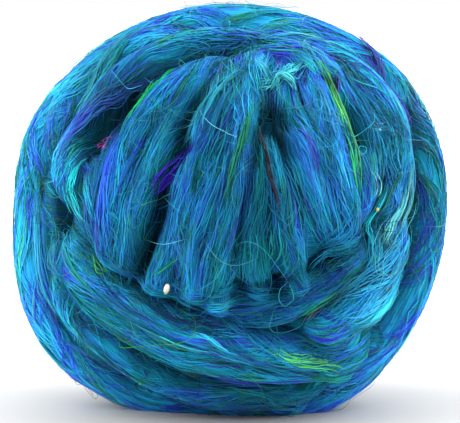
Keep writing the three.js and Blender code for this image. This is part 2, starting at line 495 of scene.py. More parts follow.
# %% Make the bed
BED_DETAIL = 7
BED_SUNK = 0.6 * MM
SHADE_BLUR = 9
DEPTH_BLUR = 2
# The bed's painted shade: its colour is darkened in creases, on low ground and in folds.
CREASE_DEPTH = 1.9 * MM
FULL_LEVEL = 9.5 * MM
DARK_LEVEL = 3 * MM
DARK_FOLD = 5.5 * MM
TURN_FIBRE_SHIFT = 0.05
TINY = 1e-6


def painted_shade_level(mesh, height, sunk):
    """Painted shade: from nought on a crest to one in a dark crease, on low ground or in a fold."""
    crease = (blurred(mesh, height, SHADE_BLUR) - height) / CREASE_DEPTH
    low = (FULL_LEVEL - height) / (FULL_LEVEL - DARK_LEVEL)
    depth = np.clip(np.maximum(crease, low ** 2 * np.sign(low)), 0, 1)
    depth = np.maximum(depth, np.clip(sunk / DARK_FOLD, 0, 1))
    return blurred(mesh, depth, DEPTH_BLUR)


def make_bed():
    """A fine ball pushed out to the height of the turns, with the values its silk reads."""
    form = bmesh.new()
    bmesh.ops.create_icosphere(form, subdivisions=BED_DETAIL, radius=1)
    mesh = bpy.data.meshes.new("ball_bed")
    form.to_mesh(mesh)
    form.free()
    way = np.zeros(len(mesh.vertices) * 3, np.float32)
    mesh.vertices.foreach_get("co", way)
    way = unit(way.reshape(-1, 3).astype(float))
    found = surface_of(way)
    sunk = fold_depth(way)
    height = blurred(mesh, found["height"] + lock_ridge(found) - sunk, 1) - BED_SUNK
    to_floor = np.where(way[:, 2] < 0, CENTRE_HEIGHT / np.maximum(TINY, -way[:, 2]), 1)
    place = way * np.minimum(found["core"] + height, to_floor)[:, None] + BALL_MIDDLE
    mesh.vertices.foreach_set("co", place.astype(np.float32).ravel())
    turn_shift = found["turn"] * TURN_FIBRE_SHIFT
    attach(mesh, "fibre", np.column_stack([found["along"], found["aside"], turn_shift]))
    # The depth attribute is painted shade, read by the bed's silk and by the strands over it.
    attach(mesh, "depth", painted_shade_level(mesh, height, sunk))
    # The bright attribute holds the patches' painted light and shade.
    painted_light, _ = patch_values(way)
    attach(mesh, "bright", np.sqrt(painted_light))
    smooth(mesh)
    return into_scene("ball_bed", mesh)


ball_bed = make_bed()
print("bed:", len(ball_bed.data.polygons), "triangles")

# %% [markdown]
# ## Short calls for node trees
# Both the strands and the materials are made of nodes, and each sum in a tree is a node
# of its own. Written out, a short formula would fill a page. So what leaves a node is
# wrapped as a wire that can be added and multiplied like a number, and each such step
# adds its Math node. The tree that comes out is the same as one wired by hand.

# %% Nodes
def socket_named(sockets, name):
    return next(s for s in sockets if s.name == name and s.enabled)


def fill(node, values):
    """Sets inputs by name or number, each from a wire or a plain value."""
    for name, value in values.items():
        socket = node.inputs[name] if isinstance(name, int) else socket_named(node.inputs, name)
        if isinstance(value, Wire):
            value.tree.links.new(value.socket, socket)
        else:
            socket.default_value = value


def add(tree, kind, values=None, **settings):
    """A new node with its settings and inputs."""
    node = tree.nodes.new(kind)
    for name, value in settings.items():
        setattr(node, name, value)
    fill(node, values or {})
    return node


def result(node, name=None):
    """The wire that leaves a node: the named one, or else the first."""
    if name is None:
        return Wire(next(s for s in node.outputs if s.enabled))
    return Wire(socket_named(node.outputs, name))


# %% Wires
def maths(operation, *values):
    """One Math node; at least one of its values is a wire."""
    tree = next(value.tree for value in values if isinstance(value, Wire))
    return result(add(tree, "ShaderNodeMath", dict(enumerate(values)), operation=operation))


class Wire:
    """What leaves a node. A sum or a product of wires is one more node in their tree."""

    def __init__(self, socket):
        self.socket = socket
        self.tree = socket.id_data

    def __add__(self, other):
        return maths("ADD", self, other)

    def __sub__(self, other):
        return maths("SUBTRACT", self, other)

    def __rsub__(self, other):
        return maths("SUBTRACT", other, self)

    def __mul__(self, other):
        return maths("MULTIPLY", self, other)

    def __truediv__(self, other):
        return maths("DIVIDE", self, other)

    def __pow__(self, other):
        return maths("POWER", self, other)


def at_most(value, limit):
    return maths("MINIMUM", value, limit)


def at_least(value, limit):
    return maths("MAXIMUM", value, limit)


# %% Vectors and ranges
def vectors(operation, *values):
    """One Vector Math node; its first value is a wire."""
    tree = values[0].tree
    return result(add(tree, "ShaderNodeVectorMath", dict(enumerate(values)), operation=operation))


def scaled(vector, scale):
    values = {0: vector, "Scale": scale}
    return result(add(vector.tree, "ShaderNodeVectorMath", values, operation="SCALE"))


def in_shares(first, first_share, second, second_share):
    """Adds two directions in the given shares."""
    return vectors("ADD", scaled(first, first_share), scaled(second, second_share))


def between(value, low, high, to_low=0, to_high=1, **settings):
    """Maps one range of values to another."""
    values = {"Value": value, "From Min": low, "From Max": high}
    values.update({"To Min": to_low, "To Max": to_high})
    return result(add(value.tree, "ShaderNodeMapRange", values, **settings))


# %% Reading and writing the numbers that points carry
VECTOR = "FLOAT_VECTOR"


def read(tree, name, kind="FLOAT"):
    node = add(tree, "GeometryNodeInputNamedAttribute", {"Name": name}, data_type=kind)
    return result(node, "Attribute")


def write(geometry, name, value, domain="POINT", kind="FLOAT"):
    values = {"Geometry": geometry, "Name": name, "Value": value}
    kinds = {"data_type": kind, "domain": domain}
    return result(add(geometry.tree, "GeometryNodeStoreNamedAttribute", values, **kinds))


def chance(low, high, seed, dice):
    """A random number for each spline; dice keeps the draws apart."""
    values = {"Min": low, "Max": high, "Seed": seed + dice}
    return result(add(seed.tree, "FunctionNodeRandomValue", values, data_type="FLOAT"))


def throw(curve, seed, draws):
    """Gives each spline its own random numbers: name, lowest, highest and dice."""
    for name, low, high, dice in draws:
        curve = write(curve, name, chance(low, high, seed, dice), "CURVE")
    return curve


def here(tree):
    return result(add(tree, "GeometryNodeInputPosition"))


def noise(place, scale, shift, detail=1, output="Fac"):
    values = {"Vector": place, "W": shift, "Scale": scale, "Detail": detail}
    return result(add(place.tree, "ShaderNodeTexNoise", values, noise_dimensions="4D"), output)


def signed_noise(place, scale, shift, detail=1):
    """Smooth noise from -1 to 1."""
    return (noise(place, scale, shift, detail) - 0.5) * 2


# %% [markdown]
# ## Locks and strands along a turn
# Silk roving is a broad sheet of parallel hairs that gather into locks, each a spindle a
# few millimetres broad that lies at a slight angle to its neighbours and partly over them.
# Each turn is given to Geometry Nodes as one guide line down its middle. The tree copies
# that line once for each lock, keeps a short stretch of it and lays it on the arched back
# of the turn. It then copies each lock's line once for each strand, spreads the copies
# inside the lock's spindle and sweeps a small section along them. Particle hair could do
# this too, but it can't follow an arched band that dives under its neighbours, and its
# hairs aren't a mesh.

# %% Starting and ending a tree
def start_tree(name, inputs):
    tree = bpy.data.node_groups.new(name, "GeometryNodeTree")
    for label, kind in inputs:
        tree.interface.new_socket(name=label, in_out="INPUT", socket_type="NodeSocket" + kind)
    tree.interface.new_socket(name="Mesh", in_out="OUTPUT", socket_type="NodeSocketGeometry")
    source = tree.nodes.new("NodeGroupInput")
    return tree, {label: result(source, label) for label, _ in inputs}


def end_tree(geometry, material):
    """Smooth, make real and paint what a tree has made, and put it out."""
    tree = geometry.tree
    rounded = result(add(tree, "GeometryNodeSetShadeSmooth", {"Geometry": geometry}))
    real = result(add(tree, "GeometryNodeRealizeInstances", {"Geometry": rounded}))
    values = {"Geometry": real, "Material": material}
    painted = result(add(tree, "GeometryNodeSetMaterial", values))
    add(tree, "NodeGroupOutput", {"Mesh": painted})
    return tree


# %% Steps that change a set of lines
def lines_of(mesh):
    return result(add(mesh.tree, "GeometryNodeMeshToCurve", {"Mesh": mesh}))


def copies(curve, amount):
    """Copies each spline; the copies of one spline are numbered from nought."""
    values = {"Geometry": curve, "Amount": amount}
    node = add(curve.tree, "GeometryNodeDuplicateElements", values, domain="SPLINE")
    return write(result(node, "Geometry"), "number", result(node, "Duplicate Index"), "CURVE")


def trimmed(curve, begin, end):
    values = {"Curve": curve, "Start": begin, "End": end}
    return result(add(curve.tree, "GeometryNodeTrimCurve", values))


def resample(curve, count):
    return result(add(curve.tree, "GeometryNodeResampleCurve", {"Curve": curve, "Count": count}))


def shift_by(curve, offset):
    return result(add(curve.tree, "GeometryNodeSetPosition", {"Geometry": curve, "Offset": offset}))


def above_floor(curve, gap):
    """Lifts whatever would pass through the floor."""
    tree = curve.tree
    apart = add(tree, "ShaderNodeSeparateXYZ", {"Vector": here(tree)})
    lifted = at_least(result(apart, "Z"), gap)
    values = {"X": result(apart, "X"), "Y": result(apart, "Y"), "Z": lifted}
    place = result(add(tree, "ShaderNodeCombineXYZ", values))
    return result(add(tree, "GeometryNodeSetPosition", {"Geometry": curve, "Position": place}))


# %% Which stretch of the turn a lock covers
# Copies go on by steps that never come back to the same place, so no two lie together.
STEP_ALONG = 0.7549
STEP_JITTER = 0.08
LOCK_LENGTHS = (0.55, 1.4)
OVERHANG = 0.35


def spread_evenly(step, seed, dice):
    """From nought to one, without clumps: each copy lies a fixed step further round."""
    return maths("FRACT", read(seed.tree, "number") * step + chance(0, STEP_JITTER, seed, dice))


def stretch_of(curve, seed, length):
    """Keeps a random stretch of each copied guide."""
    whole = result(add(curve.tree, "GeometryNodeSplineLength"), "Length")
    share = at_most(length * chance(*LOCK_LENGTHS, seed, 1) / whole, 1)
    spare = share * OVERHANG
    room = 1 - share + spare * 2
    begin = spread_evenly(STEP_ALONG, seed, 2) * room - spare
    return trimmed(curve, at_least(begin, 0), at_most(begin + share, 1))


# %% How strands taper and wander
OUTWARD_LOSS = 0.75


def centred_factor(tree):
    """From -1 at a line's start to 1 at its end."""
    return result(add(tree, "GeometryNodeSplineParameter"), "Factor") * 2 - 1


def taper(away, sharp):
    """One at a strand's middle, falling to nought at both its ends."""
    return 1 - maths("ABSOLUTE", away) ** sharp


def frizz(curve, amount, shift, fineness):
    """Small wanderings of a strand, mostly along the surface."""
    colour = noise(here(curve.tree), fineness, shift, output="Color")
    swing = scaled(vectors("SUBTRACT", colour, (0.5, 0.5, 0.5)), amount)
    out = read(curve.tree, "out", VECTOR)
    outward = vectors("DOT_PRODUCT", swing, out) * -OUTWARD_LOSS
    return shift_by(curve, in_shares(swing, 1, out, outward))


# %% Sweeping a round section along each strand
STRAND_SIDES = 3


def sweep(curve, radius):
    values = {"Resolution": STRAND_SIDES, "Radius": 1}
    profile = result(add(curve.tree, "GeometryNodeCurvePrimitiveCircle", values))
    values = {"Curve": curve, "Profile Curve": profile, "Scale": radius, "Fill Caps": True}
    return result(add(curve.tree, "GeometryNodeCurveToMesh", values))


# %% Settling strands on the bed
RAY = 90 * MM
CLOSEST_SHARE = 0.25
STRAND_LAYER = 0.6 * MM
FLOAT_LOSS = 0.85


def bed_below(tree, bed):
    """The bed's painted shade straight in from a strand, and how far off the bed it is."""
    info = add(tree, "GeometryNodeObjectInfo", {"Object": bed}, transform_space="RELATIVE")
    place = here(tree)
    way = vectors("NORMALIZE", vectors("SUBTRACT", place, BALL_MIDDLE))
    values = {
        "Target Geometry": result(info, "Geometry"),
        "Attribute": read(tree, "depth"),
        "Source Position": vectors("ADD", scaled(way, RAY), BALL_MIDDLE),
        "Ray Direction": scaled(way, -1),
        "Ray Length": RAY,
    }
    hit = add(tree, "GeometryNodeRaycast", values, data_type="FLOAT")
    away = vectors("SUBTRACT", place, result(hit, "Hit Position"))
    return result(hit, "Attribute"), vectors("DOT_PRODUCT", away, way)


def settle(curve, inputs):
    """Brings strands that float or that are buried back to the surface of the bed."""
    depth, height = bed_below(curve.tree, inputs["Bed"])
    # The fold attribute is the bed's painted shade straight below the strand.
    curve = write(write(curve, "fold", depth), "off_bed", height)
    own, off_bed = read(curve.tree, "own"), read(curve.tree, "off_bed")
    highest = inputs["Stand Off"] * (own * (1 - CLOSEST_SHARE) + CLOSEST_SHARE)
    floats = at_least(off_bed - highest, 0)
    lowest = inputs["Lowest"] + own * STRAND_LAYER
    buried = at_most(at_least(lowest - off_bed, 0), inputs["Most Lift"])
    return shift_by(curve, scaled(read(curve.tree, "out", VECTOR), buried - floats * FLOAT_LOSS))


# %% Inputs of the lock tree
LOCK_INPUTS = [
    ("Guides", "Geometry"),
    ("Bed", "Object"),
    ("Lock Length", "Float"),
    ("Lock Width", "Float"),
    ("Lock Thickness", "Float"),
    ("Slant", "Float"),
    ("Loft", "Float"),
    ("Strands", "Int"),
    ("Radius", "Float"),
    ("Wander", "Float"),
    ("Waves", "Float"),
    ("Frizz", "Float"),
    ("Stand Off", "Float"),
    ("Lowest", "Float"),
    ("Most Lift", "Float"),
    ("Painted Fold Shade", "Float"),
    ("Thinning", "Float"),
    ("Steps", "Int"),
    ("Seed", "Int"),
    ("Material", "Material"),
]

# %% Laying the locks on a turn
# Random numbers of each lock: name, lowest, highest and dice.
LOCK_DRAWS = [
    ["slant", -1, 1, 4],
    ["lock_own", 0, 1, 5],
    ["lift", -0.5, 1, 6],
    ["breadth", 0.5, 1.9, 7],
]
STEP_ACROSS = 0.5698
WANDER_NOISE = 42
WANDER_SHIFT = 2
FURTHEST_ACROSS = 1.1
LOFT_TAPER = 4
SINK_TAPER = 6
END_SINK = 1.2 * MM


def lay_locks(inputs):
    """One line for each lock, laid over the arch of its turn at a slight slant."""
    seed = inputs["Seed"]
    tree = seed.tree
    curve = copies(lines_of(inputs["Guides"]), read(tree, "locks"))
    curve = write(curve, "place_across", spread_evenly(STEP_ACROSS, seed, 3) * 2 - 1, "CURVE")
    curve = throw(curve, seed, LOCK_DRAWS)
    curve = resample(stretch_of(curve, seed, inputs["Lock Length"]), inputs["Steps"])
    away = centred_factor(tree)
    curve = write(curve, "lock_away", away)
    wave = signed_noise(here(tree), WANDER_NOISE, read(tree, "lock_own") * WANDER_SHIFT)
    across = read(tree, "slant") * inputs["Slant"] * away + wave * inputs["Wander"]
    across = at_most(across + read(tree, "place_across"), FURTHEST_ACROSS)
    across = at_least(across, -FURTHEST_ACROSS)
    fall = maths("ABSOLUTE", across) ** SHOULDER
    crown = read(tree, "thick") * (1 - fall)
    loft = read(tree, "lift") * inputs["Loft"] * taper(away, LOFT_TAPER)
    sunk = (taper(away, SINK_TAPER) - 1) * END_SINK
    aside = across * read(tree, "half")
    rounding = aside * aside / (-2 * MEAN_RADIUS)
    side, out = read(tree, "side", VECTOR), read(tree, "out", VECTOR)
    curve = shift_by(curve, in_shares(side, aside, out, crown + loft + sunk + rounding))
    curve = write(curve, "across", across)
    # The edge attribute gives painted shade at a turn's edges.
    return write(curve, "edge", at_most(fall, 1))


# %% Spreading the strands of a lock
# Random numbers of each strand: name, lowest, highest and dice.
STRAND_DRAWS = [
    ["own", 0, 1, 13],
    ["beside", -1, 1, 14],
    ["above", 0, 1, 15],
    ["stout", 0.5, 1.4, 16],
]
STRAND_BEGINS = (0, 0.35)
STRAND_ENDS = (0.65, 1)
BESIDE_NOISE = 60
BESIDE_SHIFT = 20
BESIDE_WANDER = 0.9
PINCH_TAPER = 2.2
PINCH_END = 0.2
ARCH_SHARE = 0.8
ARCH_LEAN = 0.9
FACING_LEAN = 0.2


def spread_strands(inputs, curve):
    """Strands side by side in each lock, close together where the lock ends."""
    seed = inputs["Seed"]
    tree = seed.tree
    curve = throw(copies(curve, inputs["Strands"]), seed, STRAND_DRAWS)
    curve = trimmed(curve, chance(*STRAND_BEGINS, seed, 17), chance(*STRAND_ENDS, seed, 18))
    curve = resample(curve, inputs["Steps"])
    wave = signed_noise(here(tree), BESIDE_NOISE, read(tree, "own") * BESIDE_SHIFT)
    beside = read(tree, "beside") + wave * BESIDE_WANDER
    pinch = taper(read(tree, "lock_away"), PINCH_TAPER) + PINCH_END
    reach = inputs["Lock Width"] * 0.5 * read(tree, "breadth")
    sideways = beside * reach * pinch
    arch = taper(beside * ARCH_SHARE, 2)
    upward = read(tree, "above") * arch * pinch * inputs["Lock Thickness"]
    lean = read(tree, "across") * ARCH_LEAN
    side, out = read(tree, "side", VECTOR), read(tree, "out", VECTOR)
    cosine, sine = maths("COSINE", lean), maths("SINE", lean)
    lock_side = in_shares(side, cosine, out, sine * -1)
    lock_out = in_shares(out, cosine, side, sine)
    curve = shift_by(curve, in_shares(lock_side, sideways, lock_out, upward))
    facing = in_shares(lock_out, 1, lock_side, beside * FACING_LEAN)
    return write(curve, "facing", facing, kind=VECTOR)


# %% [markdown]
# Each strand gets its dye here too, as plain numbers that its material reads later. They
# could come from noise in the material alone, but then strands that lie side by side
# would share one colour. Drawn for each strand and lock, the dyes run along the silk.

# %% Dyes of the strands
DYE_BY_LOCK = 0.85
DYE_BY_STRAND = 0.36
DYE_DRIFT = 1.1
DRIFT_NOISE = 90
DRIFT_SHIFT = 4
SPOT_NOISE = 130
SPOT_LOCK_SHIFT = 2
SPOT_STRENGTH = 0.75
# name, shift of its noise, where its spots begin and are full, and its single strands.
ODD_DYES = [
    ["violet", 20, 0.22, 0.42, "LESS_THAN", 0.035],
    ["green", 40, 0.16, 0.42, "GREATER_THAN", 0.965],
]

# %% Light of the strands
# A shuffle turns one random number of a strand into another by multiplying it.
HAIR_SHUFFLE = 13.7
FINE_SHUFFLE = 5.3
LOCK_SHUFFLE = 3.77
PALE_HAIRS = 0.3
PALE_RARITY = 3
PLAIN_LIGHT = 0.93
MOTTLE = 0.16
MOTTLE_NOISE = 350
MOTTLE_SHIFT = 9
LOCK_LIGHTS = (0.8, 1.2)
# Painted light on the middle of a turn and painted shade at its edges.
PAINTED_RIDGE_LIGHT = 1.1
PAINTED_EDGE_SHADE = 0.35


def dye_strands(curve):
    """Dyes drift along a lock, and a few spots and single strands are violet or green."""
    tree = curve.tree
    own, of_lock = read(tree, "own"), read(tree, "lock_own")
    drift = signed_noise(here(tree), DRIFT_NOISE, of_lock * DRIFT_SHIFT, 2)
    dye = read(tree, "dye") + (of_lock - 0.5) * DYE_BY_LOCK + drift * DYE_DRIFT
    curve = write(curve, "shade", dye + (own - 0.5) * DYE_BY_STRAND)
    for name, shift, low, high, test, limit in ODD_DYES:
        spots = signed_noise(here(tree), SPOT_NOISE, of_lock * SPOT_LOCK_SHIFT + shift)
        single = maths(test, maths("FRACT", own * HAIR_SHUFFLE), limit)
        curve = write(curve, name, at_least(between(spots, low, high) * SPOT_STRENGTH, single))
    return curve


def light_strands(curve, painted_fold_shade):
    """A few strands are pale; painted shade darkens those in folds and at turns' edges."""
    tree = curve.tree
    own = read(tree, "own")
    hair = maths("FRACT", own * HAIR_SHUFFLE)
    pale = maths("FRACT", hair * FINE_SHUFFLE) ** PALE_RARITY
    mottle = signed_noise(here(tree), MOTTLE_NOISE, own * MOTTLE_SHIFT)
    light = (pale * PALE_HAIRS + PLAIN_LIGHT) * read(tree, "bright") + mottle * MOTTLE
    dark_lock, bright_lock = LOCK_LIGHTS
    of_lock = maths("FRACT", read(tree, "lock_own") * LOCK_SHUFFLE)
    light = light * (of_lock * (bright_lock - dark_lock) + dark_lock)
    # Painted shade over the bed's folds and creases, then painted light and shade across a turn.
    light = light * (1 - read(tree, "fold") * painted_fold_shade)
    return write(curve, "light", light * (PAINTED_RIDGE_LIGHT - read(tree, "edge") * PAINTED_EDGE_SHADE))


# %% The whole tree for locks
WAVES_NOISE = 75
FRIZZ_NOISE = 210
FRIZZ_SHIFT = 50
STRAND_TAPER = 3
STRAND_TIP = 0.08
THINNING_POWER = 4


def lock_tree():
    """The tree that spreads each guide into a lock of fine strands."""
    tree, inputs = start_tree("locks along a turn", LOCK_INPUTS)
    curve = spread_strands(inputs, lay_locks(inputs))
    curve = frizz(curve, inputs["Waves"], 0, WAVES_NOISE)
    curve = frizz(curve, inputs["Frizz"], read(tree, "own") * FRIZZ_SHIFT, FRIZZ_NOISE)
    radius = inputs["Radius"] * read(tree, "stout")
    curve = above_floor(settle(curve, inputs), radius)
    curve = light_strands(dye_strands(curve), inputs["Painted Fold Shade"])
    thinned = read(tree, "fold") ** THINNING_POWER * inputs["Thinning"]
    slim = (taper(centred_factor(tree), STRAND_TAPER) + STRAND_TIP) * (1 - thinned)
    return end_tree(sweep(curve, radius * slim), inputs["Material"])


locks_along_turn = lock_tree()
print("lock tree:", len(locks_along_turn.nodes), "nodes")

# %% [markdown]
# ## Stray hairs
# Combed silk is never all in line. Single hairs leave the locks, curl and lie loosely over
# them, and a few stand off the ball as a thin halo. Each starts as a short line that lies
# on the ball, and a second tree bends it by its own amount and sweeps it very thin. Each
# could be a curve object, but one mesh of many lines is far quicker to handle.

# %% A tree for stray hairs
HAIR_INPUTS = [
    ("Hairs", "Geometry"),
    ("Bed", "Object"),
    ("Radius", "Float"),
    ("Curl", "Float"),
    ("Seed", "Int"),
    ("Material", "Material"),
]
CURL_NOISE = 120
CURL_SHIFT = 90
HAIR_TAPER = 4
HAIR_TIP = 0.15


def hair_tree():
    """The tree that makes each line into one fine hair."""
    tree, inputs = start_tree("stray hairs", HAIR_INPUTS)
    curve = throw(lines_of(inputs["Hairs"]), inputs["Seed"], [["own", 0, 1, 1]])
    curl = inputs["Curl"] * read(tree, "loose")
    curve = frizz(curve, curl, read(tree, "own") * CURL_SHIFT, CURL_NOISE)
    radius = inputs["Radius"] * read(tree, "stout")
    curve = above_floor(curve, radius)
    depth, _ = bed_below(tree, inputs["Bed"])
    # Painted shade: hairs over the bed's folds and creases are darkened.
    painted_shade = 1 - depth * read(tree, "dimmed")
    curve = write(curve, "light", read(tree, "light") * painted_shade)
    slim = taper(centred_factor(tree), HAIR_TAPER) + HAIR_TIP
    return end_tree(sweep(curve, radius * slim), inputs["Material"])


stray_hair_tree = hair_tree()
print("hair tree:", len(stray_hair_tree.nodes), "nodes")

# %% [markdown]
# ## Silk
# Silk is glossy, and each hair is a clear tube, so a lock has a long soft highlight along
# it and deep colour between. The dyes of this roving run from deep teal through cyan to
# royal blue, with thin locks of violet and green. A shader group mixes those dyes from
# the numbers that each strand carries, and the same group colours the bed below. One
# ramp over the whole ball would blur like paint; here each dye stays in its own silk.

# %% Silk dyes
# From deep teal through cyan and azure to royal blue.
DYES = [
    (0.00, (0.010, 0.190, 0.230)),
    (0.15, (0.013, 0.370, 0.450)),
    (0.32, (0.018, 0.450, 0.690)),
    (0.50, (0.024, 0.420, 0.870)),
    (0.68, (0.032, 0.320, 0.950)),
    (0.84, (0.035, 0.180, 0.930)),
    (1.00, (0.035, 0.070, 0.760)),
]
VIOLET = (0.060, 0.015, 0.560)
GREEN = (0.040, 0.370, 0.100)
# Paints are for the locks that are dyed on purpose.
PAINTS = {
    "none": (0, 0, 0),
    "teal": (0.010, 0.340, 0.460),
    "turquoise": (0.020, 0.560, 0.620),
    "aqua": (0.060, 0.640, 0.820),
    "tuft": (0.090, 0.860, 0.980),
    "pale": (0.320, 0.720, 0.780),
    "pale aqua": (0.180, 0.820, 0.800),
    "azure": (0.022, 0.420, 0.920),
    "sky": (0.050, 0.560, 0.980),
    "royal": (0.030, 0.130, 0.900),
    "indigo": (0.035, 0.045, 0.480),
    "violet": VIOLET,
    "bright violet": (0.050, 0.018, 0.560),
    "green": (0.030, 0.460, 0.120),
    "bright green": (0.015, 0.800, 0.130),
    "lime": (0.120, 0.760, 0.040),
    "olive": (0.110, 0.170, 0.050),
    "brown": (0.075, 0.016, 0.014),
    "magenta": (0.620, 0.004, 0.380),
    "cream": (0.700, 0.680, 0.520),
    "straw": (0.700, 0.600, 0.150),
}
print("dyes:", len(DYES), "and paints:", len(PAINTS))


# %% A group for the dyes
def colour_mix(factor, first, second):
    values = {0: factor, 6: first, 7: second}
    return result(add(factor.tree, "ShaderNodeMix", values, data_type="RGBA"))


def ramp(factor, stops):
    """A colour for each factor, blended from stop to stop."""
    node = add(factor.tree, "ShaderNodeValToRGB", {"Fac": factor})
    bar = node.color_ramp
    while len(bar.elements) < len(stops):
        bar.elements.new(0.5)
    for element, (place, colour) in zip(bar.elements, stops):
        element.position = place
        element.color = (*colour, 1)
    return result(node, "Color")


def silk_group():
    """Silk's colour from its shade and odd dyes, times its tone and painted light and shade."""
    group = bpy.data.node_groups.new("silk dyes", "ShaderNodeTree")
    for label in ("Shade", "Violet", "Green", "Light"):
        group.interface.new_socket(name=label, in_out="INPUT", socket_type="NodeSocketFloat")
    group.interface.new_socket(name="Color", in_out="OUTPUT", socket_type="NodeSocketColor")
    source = group.nodes.new("NodeGroupInput")
    colour = ramp(result(source, "Shade"), DYES)
    colour = colour_mix(result(source, "Violet"), colour, (*VIOLET, 1))
    colour = colour_mix(result(source, "Green"), colour, (*GREEN, 1))
    add(group, "NodeGroupOutput", {"Color": scaled(colour, result(source, "Light"))})
    return group


silk_dyes = silk_group()
print("dye group:", len(silk_dyes.nodes), "nodes")


# %% Steps that the silk materials share
SILK_ROUGHNESS = 0.5
SILK_GLOSS_TINT = (0.25, 0.75, 1, 1)
SHEEN_ROUGHNESS = 0.4
SHEEN_TINT = (0.4, 0.85, 1, 1)


def new_material(name):
    material = bpy.data.materials.new(name)
    material.use_nodes = True
    return material, material.node_tree, material.node_tree.nodes["Principled BSDF"]


def carried(tree, name, output="Fac"):
    """A number or vector that the mesh carries."""
    return result(add(tree, "ShaderNodeAttribute", attribute_name=name), output)


def silk_shader(shader, gloss, sheen, colour, normal):
    """Silk has a soft gloss that keeps the dye's colour."""
    fill(shader, {
        "Base Color": colour,
        "Normal": normal,
        "Roughness": SILK_ROUGHNESS,
        "Specular IOR Level": gloss,
        "Specular Tint": SILK_GLOSS_TINT,
        "Sheen Weight": sheen,
        "Sheen Roughness": SHEEN_ROUGHNESS,
        "Sheen Tint": SHEEN_TINT,
    })


# %% Silk of the strands
SOFTNESS = 0.95


def soft_normal(tree, softness):
    """Turns a strand's normal towards that of its lock, so that the lock shades as one."""
    facing = vectors("NORMALIZE", carried(tree, "facing", "Vector"))
    own = result(add(tree, "ShaderNodeNewGeometry"), "Normal")
    return vectors("NORMALIZE", in_shares(facing, softness, own, 1 - softness))


def silk_strand_material(name, gloss, sheen):
    """Silk for strands: colour from the values each strand carries, painted light among them."""
    material, tree, shader = new_material(name)
    # The light attribute holds random tone, painted light and painted shade.
    light = carried(tree, "light")
    values = {label: carried(tree, label.lower()) for label in ("Shade", "Violet", "Green")}
    dyes = add(tree, "ShaderNodeGroup", dict(values, Light=light), node_tree=silk_dyes)
    paint = scaled(carried(tree, "paint", "Vector"), light)
    colour = colour_mix(carried(tree, "painted"), result(dyes), paint)
    silk_shader(shader, gloss, sheen, colour, soft_normal(tree, SOFTNESS))
    return material


silk_strands = silk_strand_material("silk strands", gloss=0.1, sheen=0.15)
# Painted shade: a copy of the strand silk with almost no gloss and no sheen, for the hollows.
silk_shaded_copy = silk_strand_material("silk strands, shaded copy", gloss=0.02, sheen=0)
print("materials:", silk_strands.name, "and", silk_shaded_copy.name)

# %% [markdown]
# Between the strands the bed shows. Its hairs lie the way the turn runs, so its noise is
# stretched along the turn, and where the bed lies deep in a crease its colour is darkened,
# which is painted shade.

# %% Silk of the bed
BROAD_STREAKS = (35, 500, 300)
FINE_STREAKS = (90, 3000, 300)
BED_SHADES = (0.25, 0.85)
NOISE_MIDDLE = (0.35, 0.65)
STREAK_LIGHTS = (0.4, 0.95)
# Painted shade: the bed's colour falls to this share where its depth attribute is deepest.
DEEPEST = 0.9
DEEPEST_LIGHT = 0.08
BED_BUMP = 0.6 * MM
BED_GLOSS = 0.03


def streaks(fibre, sizes):
    values = {"Vector": vectors("MULTIPLY", fibre, sizes), "Scale": 1, "Detail": 2}
    return result(add(fibre.tree, "ShaderNodeTexNoise", values), "Fac")


def silk_bed_material():
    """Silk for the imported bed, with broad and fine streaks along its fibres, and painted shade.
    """
    material, tree, shader = new_material("silk bed")
    fibre = carried(tree, "fibre", "Vector")
    shade = between(streaks(fibre, BROAD_STREAKS), *BED_SHADES)
    fine = streaks(fibre, FINE_STREAKS)
    streak = between(fine, *NOISE_MIDDLE, *STREAK_LIGHTS)
    # Painted shade from the depth attribute; the bright attribute below is painted light and shade.
    painted_shade = between(carried(tree, "depth"), 0, DEEPEST, 1, DEEPEST_LIGHT)
    light = carried(tree, "bright") * (streak * painted_shade)
    dyes = add(tree, "ShaderNodeGroup", {"Shade": shade, "Light": light}, node_tree=silk_dyes)
    bump = add(tree, "ShaderNodeBump", {"Height": fine, "Distance": BED_BUMP, "Strength": 1})
    silk_shader(shader, BED_GLOSS, 0, result(dyes), result(bump))
    return material


silk_bed = silk_bed_material()
ball_bed.data.materials.append(silk_bed)
print("material of the bed:", silk_bed.name)

# %% [markdown]
# ## Guides
# A guide is a line of points down the middle of a turn. Each point also says which way is
# across the turn and which way is out, how broad and thick the turn is there, and its dye.
# The lock tree reads those by name. Curve objects could hold the same lines, but points
# of a mesh carry any number that they are given.

# %% Guides down the middle of the turns
GUIDE_STEP = 3
FEWEST_STEPS = 4
LOCK_AREA = 105 * MM ** 2


def turn_points(turn):
    """Directions, degrees round the turn and places along its middle."""
    steps = max(FEWEST_STEPS, round((turn["ends"] - turn["starts"]) / GUIDE_STEP)) + 1
    around = np.linspace(turn["starts"], turn["ends"], steps)
    angle, out = around * DEGREE, turn["out"] * DEGREE
    ring = np.outer(np.cos(angle), turn["right"]) + np.outer(np.sin(angle), turn["top"])
    way = turn["normal"] * math.sin(out) + ring * math.cos(out)
    height = core_radius(way) + turn["layer"] * MM - dive_at(turn, around)
    return way, around, way * height[:, None] + BALL_MIDDLE


def guide_data(way, place, width, thick, dye, paint, painted, cover, bright=1):
    """What the points of one guide carry; cover says how closely locks are laid on it."""
    forward = unit(np.gradient(place, axis=0))
    length = np.linalg.norm(np.diff(place, axis=0), axis=1).sum()
    count = len(place)
    painted_light, bluer = patch_values(way)
    return {
        "place": place,
        "side": unit(np.cross(forward, way)),
        "out": way,
        "half": width / 2,
        "thick": thick,
        "dye": dye + bluer,
        "paint": np.tile(PAINTS[paint], (count, 1)),
        "painted": np.full(count, painted),
        "locks": np.full(count, max(1, round(length * width.mean() / LOCK_AREA * cover))),
        # Painted light and shade: the group's factor times the patches'.
        "bright": bright * painted_light,
    }


